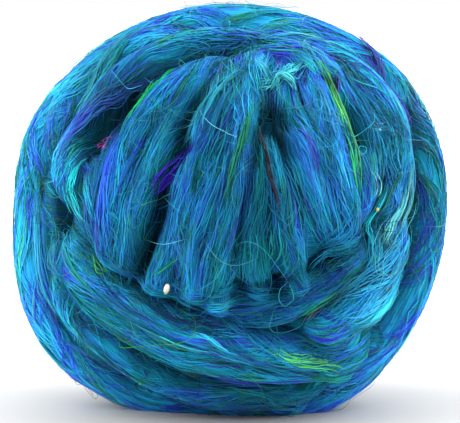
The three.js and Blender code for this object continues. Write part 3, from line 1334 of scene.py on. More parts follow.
def turn_guide(turn, cover, bright=1):
    way, around, place = turn_points(turn)
    width = width_at(turn, around)
    return guide_data(way, place, width, thickness(width), turn["dye"], "none", 0, cover, bright)


def guide_mesh(name, guides):
    """One mesh of loose lines, with the guides' numbers as attributes of its points."""
    mesh = bpy.data.meshes.new(name)
    edges = []
    start = 0
    for guide in guides:
        last = start + len(guide["place"]) - 1
        edges += [(i, i + 1) for i in range(start, last)]
        start = last + 1
    joined = {key: np.concatenate([guide[key] for guide in guides]) for key in guides[0]}
    mesh.from_pydata(joined.pop("place").tolist(), edges, [])
    for key, values in joined.items():
        attach(mesh, key, values)
    return mesh


# %% Grow pieces from guides
pieces = [ball_bed]
GROUP_SEED = 100


def grow(name, guides, tree, settings):
    """Runs a tree on guides and keeps the result as a plain mesh of its own."""
    host = into_scene(name + "_guide", guide_mesh(name + "_guide", guides))
    modifier = host.modifiers.new(name, "NODES")
    modifier.node_group = tree
    for item in tree.interface.items_tree:
        if item.in_out == "INPUT" and item.name in settings:
            modifier[item.identifier] = settings[item.name]
    graph = bpy.context.evaluated_depsgraph_get()
    grown = bpy.data.meshes.new_from_object(host.evaluated_get(graph))
    bpy.data.objects.remove(host)
    grown.name = name
    pieces.append(into_scene(name, grown))
    triangles = sum(len(face.vertices) - 2 for face in grown.polygons)
    print(f"{name}: {triangles} triangles")


# Painted light: the rims and the lower turns are made lighter than the face and the back.
GROUP_PAINTED_LIGHT = {"rim": 1.15, "lower": 1.05, "face": 1, "back_rim": 1.15, "back": 1}
LOCK_COVER = {"rim": 2.9, "lower": 2.3, "face": 1.45, "back_rim": 1.15, "back": 1.1}
lock_settings = {
    "Bed": ball_bed,
    "Lock Length": 36 * MM,
    "Lock Width": 3.2 * MM,
    "Lock Thickness": 0.6 * MM,
    "Slant": 0.8,
    "Loft": 0.5 * MM,
    "Strands": 14,
    "Radius": 0.128 * MM,
    "Wander": 0.45,
    "Waves": 2.3 * MM,
    "Frizz": 2.0 * MM,
    "Stand Off": 1.1 * MM,
    "Lowest": 0,
    "Most Lift": 8 * MM,
    # How deeply the bed's painted shade darkens the strands.
    "Painted Fold Shade": 0.85,
    "Thinning": 0.85,
    "Steps": 9,
    "Material": silk_strands,
}
for number, (group, rows) in enumerate(turns.items()):
    guides = [turn_guide(turn, LOCK_COVER[group], GROUP_PAINTED_LIGHT[group]) for turn in rows]
    settings = dict(lock_settings, Seed=GROUP_SEED * (number + 1))
    grow("strands_" + group, guides, locks_along_turn, settings)

# %% [markdown]
# ## Locks laid one by one
# No hand winds quite evenly: some locks slide off their turn and lie loosely over it, and
# the odd ones that a dyer dipped twice show as green, violet or pale streaks. A few pale
# streaks are painted highlights instead, laid where the glossy silk catches the light.
# These have no rule, so each is one row: where it starts, where it passes and where it
# ends, in degrees right of the front and above the horizon. Its width and its lift above
# whatever lies below it are in millimetres, and painted says how much of its paint it takes.

# %% Loose locks
LAID_COLUMNS = ["name", "start", "passes", "end", "width", "lift", "paint", "painted"]
LOOSE_LOCKS = [
    ["face 1, outer", (-27, 54), (-41, 30), (-43, -16), 9, -1.5, "royal", 0.5],
    ["face 1, middle", (-19, 55), (-34, 29), (-37, -18), 9, -1.5, "azure", 0.4],
    ["face 2, ridge", (-22, 42), (-27, 19), (-33, -18), 6, -1.2, "turquoise", 0.4],
    ["face 3, left", (4, 59), (-14, 23), (-27, -24), 10, -1.8, "teal", 0.3],
    ["face 3, middle", (5, 50), (-8, 14), (-15, -26), 9, -1.8, "azure", 0.3],
    ["face 3, right", (2, 57), (-6, 19), (-12, -25), 10, -1.8, "teal", 0.3],
    ["face 4", (12, 55), (3, 20), (-5, -24), 9, -1.6, "azure", 0.3],
    ["face 5, left", (11, 32), (7, 8), (3, -24), 8, -1.8, "teal", 0.5],
    ["face 5, middle", (11, 30), (11, 8), (12, -24), 8, -1.8, "teal", 0.5],
    ["face 5, right", (12, 31), (16, 5), (22, -20), 8, -1.8, "teal", 0.5],
    ["face 6", (20, 40), (24, 13), (33, -12), 7, -1.4, "azure", 0.4],
    ["face 7, left", (29, 46), (31, 22), (37, -8), 9, -1.4, "azure", 0.5],
    ["face 7, right", (39, 47), (41, 27), (43, 0), 8, -1.4, "azure", 0.4],
    ["face 8", (45, 50), (57, 36), (50, 9), 6, -1.0, "teal", 0.3],
    ["inner right", (62, 40), (60, 19), (52, -8), 8, -1.0, "sky", 0.4],
    ["face 7, end", (37, 12), (35, 0), (29, -10), 7, -0.6, "azure", 0.5],
    ["hollow, upper", (-7, -20), (7, -21), (24, -20), 6, 2.8, "azure", 0.5],
    ["hollow, lower", (-10, -24), (8, -27), (30, -22), 8, 1.6, "azure", 0.4],
    ["blue band", (59, -4), (56, -21), (37, -31), 12, -1.0, "sky", 0.7],
    ["blue band, upper", (58, -2), (50, -14), (36, -27), 10, -0.6, "sky", 0.8],
    ["loops, right", (57, 12), (50, -1), (46, -12), 7, -0.4, "turquoise", 0.5],
    ["left ridge", (-75, 9), (-75, -16), (-76, -36), 6, -1.5, "azure", 0.3],
    ["left, inner", (-58, -9), (-63, -24), (-55, -35), 6, -1.2, "turquoise", 0.3],
    ["bottom, upper", (-57, -2), (-27, -21), (6, -30), 9, 0.4, "teal", 0.3],
    ["bottom, second", (-60, -16), (-40, -39), (-3, -47), 8, -1.0, "teal", 0.3],
    ["bottom, middle", (-13, -27), (18, -38), (52, -42), 9, 0, "azure", 0.4],
    ["bottom, low", (-60, -52), (-18, -60), (39, -58), 9, -1.2, "azure", 0.2],
    ["across face 1", (-31, 40), (-38, 20), (-35, 0), 4, 0.6, "turquoise", 0.5],
    ["across face 1, low", (-34, 10), (-31, -5), (-35, -17), 4, 0.6, "azure", 0.5],
    ["across face 2", (-25, 25), (-31, 10), (-30, -8), 4, 0.8, "turquoise", 0.4],
    ["across face 3", (-4, 35), (-14, 15), (-16, -5), 4, 0.4, "royal", 0.5],
    ["across face 4", (9, 35), (-1, 20), (-9, 2), 4, 0.4, "teal", 0.5],
    ["across face 4, low", (1, 5), (-6, -8), (-8, -20), 5, 0.4, "azure", 0.3],
    ["across face 5", (8, 15), (14, 0), (12, -14), 4, 0.3, "turquoise", 0.4],
    ["across face 6", (21, 35), (29, 20), (29, 4), 4, 0.4, "sky", 0.4],
    ["across face 7", (38, 40), (33, 22), (39, 5), 4, 0.4, "royal", 0.4],
    ["behind the turquoise lock", (-54, 19), (-48, 9), (-42, 0), 8, -1.2, "turquoise", 0.4],
]
print("loose locks:", len(LOOSE_LOCKS))

# %% Coloured locks
COLOURED_LOCKS = [
    # Painted highlight: pale strands along the crest of the inner rim, upper left.
    ["aqua crest", (-65, 30), (-66, 46), (-57, 64), 3, 0.5, "turquoise", 0.6],
    ["turquoise lock", (-53, 21), (-56, 11), (-46, 0), 2.4, 2.2, "turquoise", 1],
    ["green, upper left", (-30, 53), (-36, 43), (-39, 32), 4, 2.6, "bright green", 1],
    ["lime, right", (38, 52), (42, 39), (41, 24), 2.4, 2.2, "lime", 0.9],
    ["lime, right, lower", (42, 36), (42, 22), (40, 8), 2.4, 2.2, "green", 0.9],
    ["green, face 4", (8, 39), (3, 25), (-2, 7), 1.2, 1.2, "green", 0.8],
    ["green, low left", (-13, -5), (-21, -11), (-29, -18), 1.6, 1.2, "green", 0.6],
    ["violet, left rim", (-37, 51), (-58, 36), (-60, 15), 1.6, 0.8, "violet", 0.6],
    ["violet, hollow", (-12, 27), (-19, 19), (-25, 9), 4, 3.4, "bright violet", 1],
    ["violet, upper right", (78, 57), (71, 39), (68, 20), 2, 1.4, "violet", 0.9],
    ["violet, by the lime", (45, 46), (45, 40), (45, 35), 1.4, 1.2, "violet", 0.9],
    ["violet, face 6", (22, 30), (24, 23), (27, 15), 2.6, 2.2, "bright violet", 0.8],
    ["violet, face 4", (2, 4), (-1, -4), (-1, -11), 1.2, 1, "violet", 0.7],
    ["violet, low", (-7, -47), (12, -49), (31, -50), 1.4, 0.6, "indigo", 0.8],
    ["royal, face 1", (-37, 30), (-39, 10), (-37, -11), 4, 1.4, "royal", 0.7],
    ["violet, face 1", (-41, 12), (-41, -2), (-39, -13), 1.6, 1.6, "violet", 0.7],
    ["brown", (10, 33), (12, 12), (19, -10), 0.9, 2.4, "brown", 0.95],
    ["olive", (-12, 26), (-17, 23), (-22, 20), 0.8, 1.8, "olive", 1],
    ["magenta, low", (26, -31), (31, -27), (37, -23), 1, 0.6, "magenta", 0.2],
    ["lime, low", (12, -37), (30, -41), (50, -45), 2.8, 1.2, "lime", 0.75],
    ["green, low", (26, -43), (40, -46), (54, -46), 3, 1, "bright green", 0.5],
    ["green edge", (-47, -9), (-43, -13), (-36, -16), 0.8, 1, "lime", 0.8],
    ["green crest", (23, -28), (34, -22), (43, -16), 1, 1, "green", 0.8],
    ["pale hairs", (6, 55), (-8, 41), (-11, 29), 3, 1.4, "aqua", 0.6],
    # Painted highlight: light blue strands on the bottom band.
    ["blue, low", (-14, -31), (-4, -35), (10, -41), 2, 0.6, "sky", 0.5],
    # Painted highlight: pale strands along the top of the inner rim, right.
    ["pale, upper right", (58, 67), (62, 56), (64, 46), 2, 0.8, "aqua", 0.7],
    ["pale tip", (66, 34), (71, 27), (72, 20), 1.2, 1.4, "aqua", 0.8],
    ["pale, right", (60, 16), (54, 4), (49, -9), 2.4, 2, "pale aqua", 0.8],
    ["right loop", (59, 19), (49, 2), (46, -12), 2, 1.8, "turquoise", 0.8],
    ["tuft, stem", (34, 54), (25, 49), (18, 46), 1.8, 3.4, "tuft", 1],
    ["tuft, left leg", (22, 48), (17, 46), (11, 41), 2, 3.8, "tuft", 1],
    ["tuft, right leg", (18, 47), (23, 44), (26, 38), 2, 3.8, "tuft", 1],
    ["pale, blue band", (62, -5), (57, -20), (40, -29), 5, 0.8, "aqua", 0.5],
    ["pale, left band", (-78, 10), (-77, -12), (-73, -30), 2.4, 0.4, "aqua", 0.5],
    ["green, bottom band", (-40, -26), (-22, -33), (-4, -37), 2.2, 0.6, "green", 0.5],
    ["blade", (46, 15), (46, 9), (44, 3), 1.4, 2, "pale aqua", 0.9],
    # Painted highlight: pale strands along the low ridge.
    ["bright ridge, low", (-3, -55), (22, -60), (51, -63), 1.4, 0.8, "turquoise", 0.5],
]
print("coloured locks:", len(COLOURED_LOCKS))

# %% Tangles
TANGLES = [
    ["tuft, stem", (34, 54), (24, 49), (17, 46), 2.6, 2.2, "tuft", 0.9],
    ["tuft, end", (21, 48), (16, 46), (11, 41), 3, 2.6, "tuft", 1],
    ["tuft, arm", (17, 47), (22, 45), (26, 38), 2.4, 2.6, "tuft", 1],
    ["tuft, back", (8, 52), (14, 49), (20, 47), 3, 2.0, "tuft", 0.7],
    ["tangle, upper right", (30, 58), (36, 52), (38, 44), 6, 1.2, "turquoise", 0.6],
    ["tangle, face 2", (-31, 3), (-28, 6), (-26, 4), 2.4, 1.2, "azure", 0.6],
    ["magenta tuft", (-52, 26), (-49, 25), (-47, 23), 1.6, 0, "magenta", 1],
    ["knob, right", (52, 33), (57, 25), (55, 12), 6, 0.6, "teal", 0.6],
    ["pale clump", (53, 27), (57, 27.5), (61, 27), 2, 2.6, "pale", 1],
    ["tangle, face 1", (-39, 5), (-36, -2), (-36, -8), 3, 0.6, "turquoise", 0.4],
    ["tangle, face 3", (-17, 2), (-14, -6), (-14, -14), 3, 0.8, "aqua", 0.4],
    ["tangle, lower right", (50, 2), (47, -6), (47, -14), 4, 1.2, "turquoise", 0.5],
    ["tangle, below the face", (46, 1), (38, -6), (25, -14), 4, 0.6, "teal", 0.5],
    ["tangle, left", (-64, -2), (-60, -12), (-58, -20), 4, 0.6, "teal", 0.5],
]
print("tangles:", len(TANGLES))

# %% Lines that rest on the ball
FLOOR_GAP = 0.3 * MM
# Where a lock is held up, as a share of its width, and how much of a fold it fills.
EDGE_SHARE = 0.45
FOLD_BRIDGED = 0.5
SMOOTHED_POINTS = 2
# Keeps a heading from being nought where points coincide.
NO_HEADING = 1e-9


def set_down(way, radius):
    """Places at a distance from the ball's middle, and never below the floor."""
    place = way * radius[:, None] + BALL_MIDDLE
    place[:, 2] = np.maximum(place[:, 2], FLOOR_GAP)
    return place


def highest_near(radius):
    """The highest radius among each point and its neighbours along the line."""
    padded = np.pad(radius, SMOOTHED_POINTS, mode="edge")
    window = 2 * SMOOTHED_POINTS + 1
    return np.max([padded[i:i + len(radius)] for i in range(window)], axis=0)


def support_radius(way, side, width):
    """Radius of what holds a lock up: the ridges under its middle and both its edges."""
    below = []
    for share in (-EDGE_SHARE, 0, EDGE_SHARE):
        beside = unit(way + side * share * width / MEAN_RADIUS)
        found = surface_of(beside)
        below.append(found["core"] + found["height"] - fold_depth(beside) * FOLD_BRIDGED)
    below = np.sort(below, axis=0)
    return (below[1] + below[2]) / 2


def resting_place(way, width, lift):
    """Places on the ball's surface, bridging its narrow creases."""
    heading = np.gradient(way, axis=0) + [0, 0, NO_HEADING]
    radius = support_radius(way, unit(np.cross(heading, way)), width)
    return set_down(way, (radius + highest_near(radius)) / 2 + lift)


# %% Lay the locks
LAID_STEPS = 13
LAID_THICKNESS = 0.3
THICKEST_LAID = 2 * MM
LAID_DYE = 0.45


def laid_guides(rows, cover):
    """A guide for each row of a table, resting on the ball."""
    guides = []
    for row in named(LAID_COLUMNS, rows):
        way = bow(row["start"], row["passes"], row["end"], LAID_STEPS)
        place = resting_place(way, row["width"] * MM, row["lift"] * MM)
        width = np.full(len(way), row["width"] * MM)
        thick = np.minimum(width * LAID_THICKNESS, THICKEST_LAID)
        look = (LAID_DYE, row["paint"], row["painted"])
        guides.append(guide_data(way, place, width, thick, *look, cover))
    return guides


# %% Settings of the laid locks
# A lock longer than its guide covers the whole of it.
WHOLE_LENGTH = 200 * MM
LOOSE_COVER = 1.5
COLOURED_COVER = 4
TANGLE_COVER = 5

loose_settings = {
    **lock_settings,
    "Seed": 900,
    "Loft": 0.9 * MM,
    "Stand Off": 2.2 * MM,
    "Lowest": 0.8 * MM,
}
coloured_settings = {
    **lock_settings,
    "Seed": 950,
    "Lock Length": WHOLE_LENGTH,
    "Lock Width": 1.2 * MM,
    "Lock Thickness": 0.8 * MM,
    "Radius": 0.15 * MM,
    "Strands": 8,
    "Loft": 0.4 * MM,
    "Painted Fold Shade": 0.3,
    "Thinning": 0,
    "Stand Off": 3 * MM,
    "Lowest": 1.3 * MM,
}
tangle_settings = {
    **coloured_settings,
    "Seed": 980,
    "Radius": 0.075 * MM,
    "Strands": 15,
    "Steps": 15,
    "Slant": 1.2,
    "Lock Width": 3.5 * MM,
    "Frizz": 3.5 * MM,
    "Waves": 3 * MM,
    "Painted Fold Shade": 0.15,
}
grow("locks_loose", laid_guides(LOOSE_LOCKS, LOOSE_COVER), locks_along_turn, loose_settings)
coloured_guides = laid_guides(COLOURED_LOCKS, COLOURED_COVER)
grow("locks_coloured", coloured_guides, locks_along_turn, coloured_settings)
grow("locks_tangled", laid_guides(TANGLES, TANGLE_COVER), locks_along_turn, tangle_settings)

# %% [markdown]
# ## Neps
# Neps are tiny knots of waste silk that combing leaves behind. One cream nep shows at the
# foot of the face. Each is a small closed egg with an uneven skin. Geometry Nodes could
# strew them, but there are only a few, each in its own place, so their mesh is written
# point by point.

# %% Neps
NEP_COLUMNS = ["name", "turn", "rise", "long", "wide", "lean", "lift", "paint"]
NEPS = [
    ["cream nep", -19, -17, 3.3, 1.6, 70, 2.9, "cream"],
    ["straw nep", 49, 4, 1.4, 1.0, 40, 1.8, "straw"],
    ["magenta knot", -50, 24, 2.4, 1.4, 60, -1.2, "magenta"],
    ["green nep", -41, -50, 1.2, 0.8, 20, 1.0, "green"],
    ["pale nep", 57, 27, 1.6, 0.9, 10, 1.8, "pale"],
]
NEP_FLATNESS = 0.8
NEP_UNEVENNESS = 0.12
NEP_BUMPS = (19, 23)
NEP_SUPPORT = 2 * MM


def nep_frame(nep):
    """Directions along, across and out of a nep, one in each row."""
    out = direction(nep["turn"], nep["rise"])
    level = unit(np.cross([0, 0, 1], out))
    lean = nep["lean"] * DEGREE
    along = level * math.cos(lean) + np.cross(out, level) * math.sin(lean)
    return np.array([along, np.cross(out, along), out])


def make_neps():
    """The neps in one mesh: uneven, flattened eggs, each turned to lie in its place."""
    form = bmesh.new()
    bmesh.ops.create_icosphere(form, subdivisions=2, radius=0.5)
    egg = np.array([corner.co[:] for corner in form.verts])
    sides = np.array([[corner.index for corner in side.verts] for side in form.faces])
    form.free()
    skin = np.sin(egg[:, 0] * NEP_BUMPS[0]) * np.cos(egg[:, 1] * NEP_BUMPS[1])
    uneven = egg * (1 + NEP_UNEVENNESS * skin)[:, None]
    places, faces, facing, paint = [], [], [], []
    for nep in named(NEP_COLUMNS, NEPS):
        axes = nep_frame(nep)
        size = np.array([nep["long"], nep["wide"], nep["wide"] * NEP_FLATNESS]) * MM
        same_way_thrice = np.tile(axes[2], (3, 1))
        middle = resting_place(same_way_thrice, NEP_SUPPORT, nep["lift"] * MM)[1]
        faces += (sides + len(places)).tolist()
        places += (uneven @ (axes * size[:, None]) + middle).tolist()
        facing += (egg @ axes).tolist()
        paint += [PAINTS[nep["paint"]]] * len(egg)
    mesh = bpy.data.meshes.new("neps")
    mesh.from_pydata(places, [], faces)
    ones = np.ones(len(places))
    for name, values in {"facing": facing, "paint": paint, "painted": ones, "light": ones}.items():
        attach(mesh, name, values)
    smooth(mesh)
    mesh.materials.append(silk_strands)
    return into_scene("neps", mesh)


pieces.append(make_neps())
print("neps:", len(pieces[-1].data.polygons), "faces")

# %% [markdown]
# ## Hidden strands, stray hairs and halo
# In the hollows the strands of inner turns show, dark and lying every way. Over the whole
# ball lie single hairs. Both are strewn at random from fixed seeds: places on the ball are
# drawn evenly, and each place becomes a short line along the silk there. Particles could
# strew them too, but they wouldn't know which way the silk runs.

# %% Strew lines over the ball
rng = np.random.default_rng(11)


def random_ways(count):
    return unit(rng.normal(size=(count, 3)))


def line_on_ball(way, heading, length, steps):
    """Directions along a great circle through a place."""
    turned = np.linspace(-0.5, 0.5, steps) * length / MEAN_RADIUS
    return np.outer(np.cos(turned), way) + np.outer(np.sin(turned), heading)


def turned_heading(way, flow, angle):
    across = np.cross(way, flow)
    return unit(flow * math.cos(angle) + across * math.sin(angle))


# %% Strands that show in the hollows
HIDDEN_DRAWS = 650
HIDDEN_LENGTH = 22 * MM
HIDDEN_LENGTHS = (0.6, 1.3)
HIDDEN_WIDTH = 2 * MM
HIDDEN_THICK = 0.3
HIDDEN_SINK = 0.6 * MM
HIDDEN_IN_FOLD = 0.85
HIDDEN_DYES = (0.1, 0.9)
HIDDEN_STEPS = 7
HEADING_SPREAD = 0.5

hidden_guides = []
draws = random_ways(HIDDEN_DRAWS)
found = surface_of(draws)
bare = found["turn"] < 0
for way, flow in zip(draws[bare], found["flow"][bare]):
    heading = turned_heading(way, flow, rng.normal(0, HEADING_SPREAD))
    line = line_on_ball(way, heading, HIDDEN_LENGTH * rng.uniform(*HIDDEN_LENGTHS), HIDDEN_STEPS)
    level = core_radius(line) + PACKED_BED - fold_depth(line) * HIDDEN_IN_FOLD - HIDDEN_SINK
    width = np.full(len(line), HIDDEN_WIDTH)
    look = (rng.uniform(*HIDDEN_DYES), "none", 0)
    place = set_down(line, level)
    hidden_guides.append(guide_data(line, place, width, width * HIDDEN_THICK, *look, cover=1))
hidden_settings = {
    **lock_settings,
    "Seed": 700,
    "Strands": 8,
    "Steps": 8,
    "Lock Length": WHOLE_LENGTH,
    "Lock Width": 2.6 * MM,
    "Thinning": 0,
    "Most Lift": 0.8 * MM,
    "Material": silk_shaded_copy,
}
grow("strands_hidden", hidden_guides, locks_along_turn, hidden_settings)

print("hidden strands start from", len(hidden_guides), "lines")

# %% Numbers of the stray hairs
HAIRS = 1700
HAIR_STEPS = 10
HAIR_LENGTHS = (6, 22)
HAIR_CURL = 0.1 / MM
HAIR_GAP = 0.3 * MM
HAIR_ARCH = 0.8
HAIR_LOOSENESS = (0.2, 1)
HAIR_STOUTNESS = (0.6, 1.2)
HAIR_LIGHTS = (0.45, 1.05)
# How much of the bed's painted shade a stray hair takes.
HAIR_PAINTED_SHADE = 0.9
KEPT_BEND = 0.9
NEW_BEND = 0.4
HAIR_PAINTS = {
    "turquoise": 0.3,
    "azure": 0.2,
    "aqua": 0.27,
    "pale aqua": 0.12,
    "sky": 0.05,
    "green": 0.03,
    "violet": 0.03,
}


# %% Lines for hairs
def hair_line(line, height, loose, stout, paint, light, dimmed):
    """A line at a height above the ball, with what its points carry for the hair tree."""
    found = surface_of(line)
    radius = highest_near(found["core"] + found["height"]) + height
    numbers = {"loose": loose, "stout": stout, "painted": 1, "light": light, "dimmed": dimmed}
    return {
        "place": set_down(line, radius),
        "paint": np.tile(PAINTS[paint], (len(line), 1)),
        "facing": line,
        "out": line,
        **{name: np.full(len(line), value) for name, value in numbers.items()},
    }


def curling_line(way, heading, length, steps, curl):
    """A line on the ball whose heading turns more and more one way or the other."""
    step = length / (steps - 1)
    bend = rng.normal(0, curl)
    line = [way]
    for _ in range(steps - 1):
        bend = KEPT_BEND * bend + rng.normal(0, curl * NEW_BEND)
        heading = turned_heading(way, heading, bend * step)
        way = unit(way + heading * step / MEAN_RADIUS)
        heading = unit(heading - way * (heading @ way))
        line.append(way)
    return np.array(line)


# %% Strew the stray hairs
hairs = []
draws = random_ways(HAIRS)
names, odds = list(HAIR_PAINTS), list(HAIR_PAINTS.values())
arch = np.sin(np.linspace(0, math.pi, HAIR_STEPS))
for way, flow in zip(draws, surface_of(draws)["flow"]):
    heading = turned_heading(way, flow, rng.normal(0, HEADING_SPREAD))
    line = curling_line(way, heading, rng.uniform(*HAIR_LENGTHS) * MM, HAIR_STEPS, HAIR_CURL)
    height = HAIR_GAP + arch * rng.exponential(HAIR_ARCH) * MM
    paint, light = rng.choice(names, p=odds), rng.uniform(*HAIR_LIGHTS)
    loose, stout = rng.uniform(*HAIR_LOOSENESS), rng.uniform(*HAIR_STOUTNESS)
    hairs.append(hair_line(line, height, loose, stout, paint, light, HAIR_PAINTED_SHADE))
hair_settings = {
    "Bed": ball_bed,
    "Radius": 0.06 * MM,
    "Curl": 1.5 * MM,
    "Seed": 40,
    "Material": silk_strands,
}
grow("hairs_stray", hairs, stray_hair_tree, hair_settings)

# %% [markdown]
# ## Single threads
# A few single threads catch the eye, such as the small loop at the foot of the face. Each
# is drawn through its own places, with a smooth curve between them. A curve object could
# do it, but the hair tree already sweeps a thread that keeps clear of the ball.

# %% The threads and the places they pass
THREAD_COLUMNS = ["name", "paint", "stout", "lift", "places"]
THREADS = [
    ["stem of the loop", "aqua", 1.3, 3.2, [(1, -4), (5, -3), (9, -5), (14, -11), (17, -15)]],
    ["loop", "aqua", 1.5, 3.4, [
        (17, -15), (15, -18), (15, -21), (17, -23), (19, -21), (18.5, -18), (17, -15),
    ]],
    ["small ring", "aqua", 1.4, 2.2, [(44, 22), (45.5, 23), (47, 22), (45.5, 20.5), (44, 22)]],
    ["ring", "sky", 1.2, 2.0, [(29, 36), (31, 37.5), (33, 36), (31, 34), (29, 36)]],
    ["arc, right", "aqua", 1.2, 2.8, [(34, 34), (40, 29), (43, 26), (47, 27), (51, 29), (53, 32)]],
    ["big arc", "aqua", 1.2, 1.6, [
        (15, -24), (13, -27), (13, -30), (17, -33), (22, -32), (25, -30), (27, -24),
    ]],
    ["green thread", "lime", 1.4, 1.4, [
        (-47, -36), (-41, -36), (-28, -34), (-15, -32), (-11, -28), (-17, -24),
    ]],
    ["left thread", "green", 1.2, 1.0, [(-75, 4), (-65, 0), (-63, -6), (-64, -13)]],
    ["over the tuft", "aqua", 1.4, 2.2, [(13, 49), (25, 48), (38, 50)]],
    ["face thread", "aqua", 1.3, 1.6, [(-10, 36), (-12, 29), (-10, 23)]],
    ["low thread", "turquoise", 1.3, 1.4, [(-32, -39), (-26, -45), (-19, -50)]],
    ["upper curl", "aqua", 1.2, 1.6, [(-53, 45), (-46, 43), (-40, 45)]],
    ["right loop, upper", "pale aqua", 1.8, 3.4, [
        (54, 8), (51, 1), (47, -5), (46, -11), (49, -14), (52, -11), (50, -5), (47, 0),
    ]],
    ["right loop, lower", "pale aqua", 1.6, 3, [(51, 3), (47, -3), (45, -9), (47, -14), (51, -13)]],
    ["right loop, inner", "pale aqua", 1.6, 3, [(57, 5), (53, -3), (49, -9), (48, -16), (44, -19)]],
    ["left loop", "turquoise", 1.2, 1.5, [
        (-84, 16), (-88, 12), (-90, 6), (-86, 2), (-82, 6), (-83, 12),
    ]],
    ["lower left arc", "turquoise", 1.2, 1.0, [(-70, -40), (-72, -45), (-68, -49), (-60, -50)]],
]

# %% Lay the threads
THREAD_STEPS = 28
THREAD_LOOSENESS = 0.15
THREAD_LIGHT = 0.9
# How much of the bed's painted shade a thread takes.
THREAD_PAINTED_SHADE = 0.2


def between_places(places, share):
    """A point on a smooth curve from the second of four places to the third."""
    before, start, end, after = places
    bend = 2 * before - 5 * start + 4 * end - after
    twist = 3 * start - before - 3 * end + after
    return 0.5 * (2 * start + (end - before) * share + bend * share ** 2 + twist * share ** 3)


def smooth_way(places):
    """Directions along a curve through the places, as thread would lie."""
    points = np.array(places, float)
    padded = np.vstack([2 * points[0] - points[1], points, 2 * points[-1] - points[-2]])
    shares = np.linspace(0, len(points) - 1 - TINY, THREAD_STEPS)
    curve = [between_places(padded[int(share):int(share) + 4], share % 1) for share in shares]
    return np.array([direction(turn, rise) for turn, rise in curve])


threads = []
for thread in named(THREAD_COLUMNS, THREADS):
    look = (thread["stout"], thread["paint"], THREAD_LIGHT, THREAD_PAINTED_SHADE)
    line = smooth_way(thread["places"])
    threads.append(hair_line(line, thread["lift"] * MM, THREAD_LOOSENESS, *look))
grow("threads", threads, stray_hair_tree, dict(hair_settings, Seed=60))

# %% [markdown]
# ## Floor, light and camera
# The ball stands on a white table in a box of white cloth, so light comes from every side
# and the shadow below it is short and soft. The paper's colour is grey near the ball and
# whiter further back: painted shade for the ball's soft shadow and the open front of the
# box, made by a plain ramp in the material.

# %% Floor
FLOOR_SIZE = 6
# Painted shade on the paper: where it starts and ends, and its whiteness there.
NEAR_PAPER = (0.02, 0.34)
FAR_PAPER = (0.5, 0.95)
PAPER_ROUGHNESS = 0.8


def make_floor():
    """A square of paper whose colour is grey near the ball and whiter further back: painted shade.
    """
    half = FLOOR_SIZE / 2
    mesh = bpy.data.meshes.new("floor")
    corners = [(-half, -half, 0), (half, -half, 0), (half, half, 0), (-half, half, 0)]
    mesh.from_pydata(corners, [], [(0, 1, 2, 3)])
    paper, tree, shader = new_material("white paper")
    place = result(add(tree, "ShaderNodeTexCoord"), "Object")
    away = result(add(tree, "ShaderNodeSeparateXYZ", {"Vector": place}), "Y")
    white = between(away, NEAR_PAPER[0], FAR_PAPER[0], NEAR_PAPER[1], FAR_PAPER[1])
    shaded_paper = add(tree, "ShaderNodeCombineColor", {"Red": white, "Green": white, "Blue": white})
    fill(shader, {"Base Color": result(shaded_paper), "Roughness": PAPER_ROUGHNESS})
    mesh.materials.append(paper)
    return into_scene("floor", mesh)


floor = make_floor()
print("floor:", FLOOR_SIZE, "metres wide")

# %% [markdown]
# The cloth box is bright above, beside and behind the ball, and darker on the side where
# the camera looks in. So the world's light fades from its top and back to its front, and
# only the background that the camera sees stays pure white.

# %% Light box
BRIGHT_SIDE = (0, 0.6, 0.79)
FADE_ENDS = (-0.5, 0.75)
DARKEST = 0.62
BRIGHTEST = 2.95
WHITE = (1, 1, 1, 1)


def light_box():
    """Soft light from all round the ball, and plain white behind it."""
    world = bpy.data.worlds.new("light box")
    world.use_nodes = True
    tree = world.node_tree
    way = result(add(tree, "ShaderNodeTexCoord"), "Generated")
    facing = vectors("DOT_PRODUCT", way, BRIGHT_SIDE)
    fade = between(facing, *FADE_ENDS, DARKEST, BRIGHTEST, interpolation_type="SMOOTHSTEP")
    seen = result(add(tree, "ShaderNodeLightPath"), "Is Camera Ray")
    strength = result(add(tree, "ShaderNodeMix", {0: seen, 2: fade, 3: 1}))
    fill(tree.nodes["Background"], {"Color": WHITE, "Strength": strength})
    return world


bpy.context.scene.world = light_box()
print("light box, darkest and brightest:", DARKEST, BRIGHTEST)

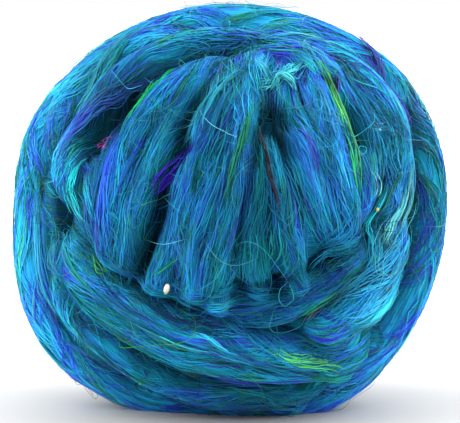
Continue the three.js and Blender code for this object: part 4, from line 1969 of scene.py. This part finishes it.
# %% [markdown]
# Two broad lamps stand low at the sides and a faint one hangs above. They draw the long
# highlights on the silk and leave the grooves dark, which an even white box alone wouldn't.

# %% Lamps
LAMP_COLUMNS = ["name", "place", "size", "power"]
LAMPS = [
    ["left", (-0.7, -0.1, 0.4), 1.0, 9],
    ["right", (0.7, -0.05, 0.4), 1.0, 8],
    ["top", (0.0, 0.1, 0.8), 0.9, 1],
]


def aim(thing, target):
    """Turns a lamp or a camera towards a place."""
    away = np.array(thing.location) - np.array(target)
    flat = math.hypot(away[0], away[1])
    thing.rotation_euler = (math.atan2(flat, away[2]), 0, math.atan2(away[0], -away[1]))


for row in named(LAMP_COLUMNS, LAMPS):
    lamp = bpy.data.lights.new(row["name"], "AREA")
    lamp.size = row["size"]
    lamp.energy = row["power"]
    lamp_object = into_scene(row["name"], lamp)
    lamp_object.location = row["place"]
    aim(lamp_object, BALL_MIDDLE)
    print("lamp:", row["name"], row["power"], "watts")

# %% [markdown]
# The camera looks slightly down on the ball from the front. A long lens far away would
# flatten it, so the camera stands about seven widths of the ball off.

# %% Camera
CAMERA_RISE = 6
CAMERA_AWAY = 0.9
FIELD_WIDTH = 134.5 * MM
SENSOR = 36
AIM_ASIDE = -0.2 * MM
AIM_HEIGHT = 57 * MM

camera = bpy.data.cameras.new("camera")
camera.sensor_width = SENSOR
camera.lens = SENSOR * CAMERA_AWAY / FIELD_WIDTH
camera_object = into_scene("camera", camera)
rise = CAMERA_RISE * DEGREE
target = (AIM_ASIDE, 0, AIM_HEIGHT)
camera_height = target[2] + CAMERA_AWAY * math.sin(rise)
camera_object.location = (target[0], -CAMERA_AWAY * math.cos(rise), camera_height)
aim(camera_object, target)
bpy.context.scene.camera = camera_object
bpy.context.scene.view_settings.view_transform = "Standard"
print("lens, millimetres:", round(camera.lens))

# %% [markdown]
# ## Hand over
# Every piece rides on the one body, and together they stand for the plain solid.

# %% Ride and replace
for piece in pieces:
    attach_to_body(piece, "root")
    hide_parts("roving_ball")
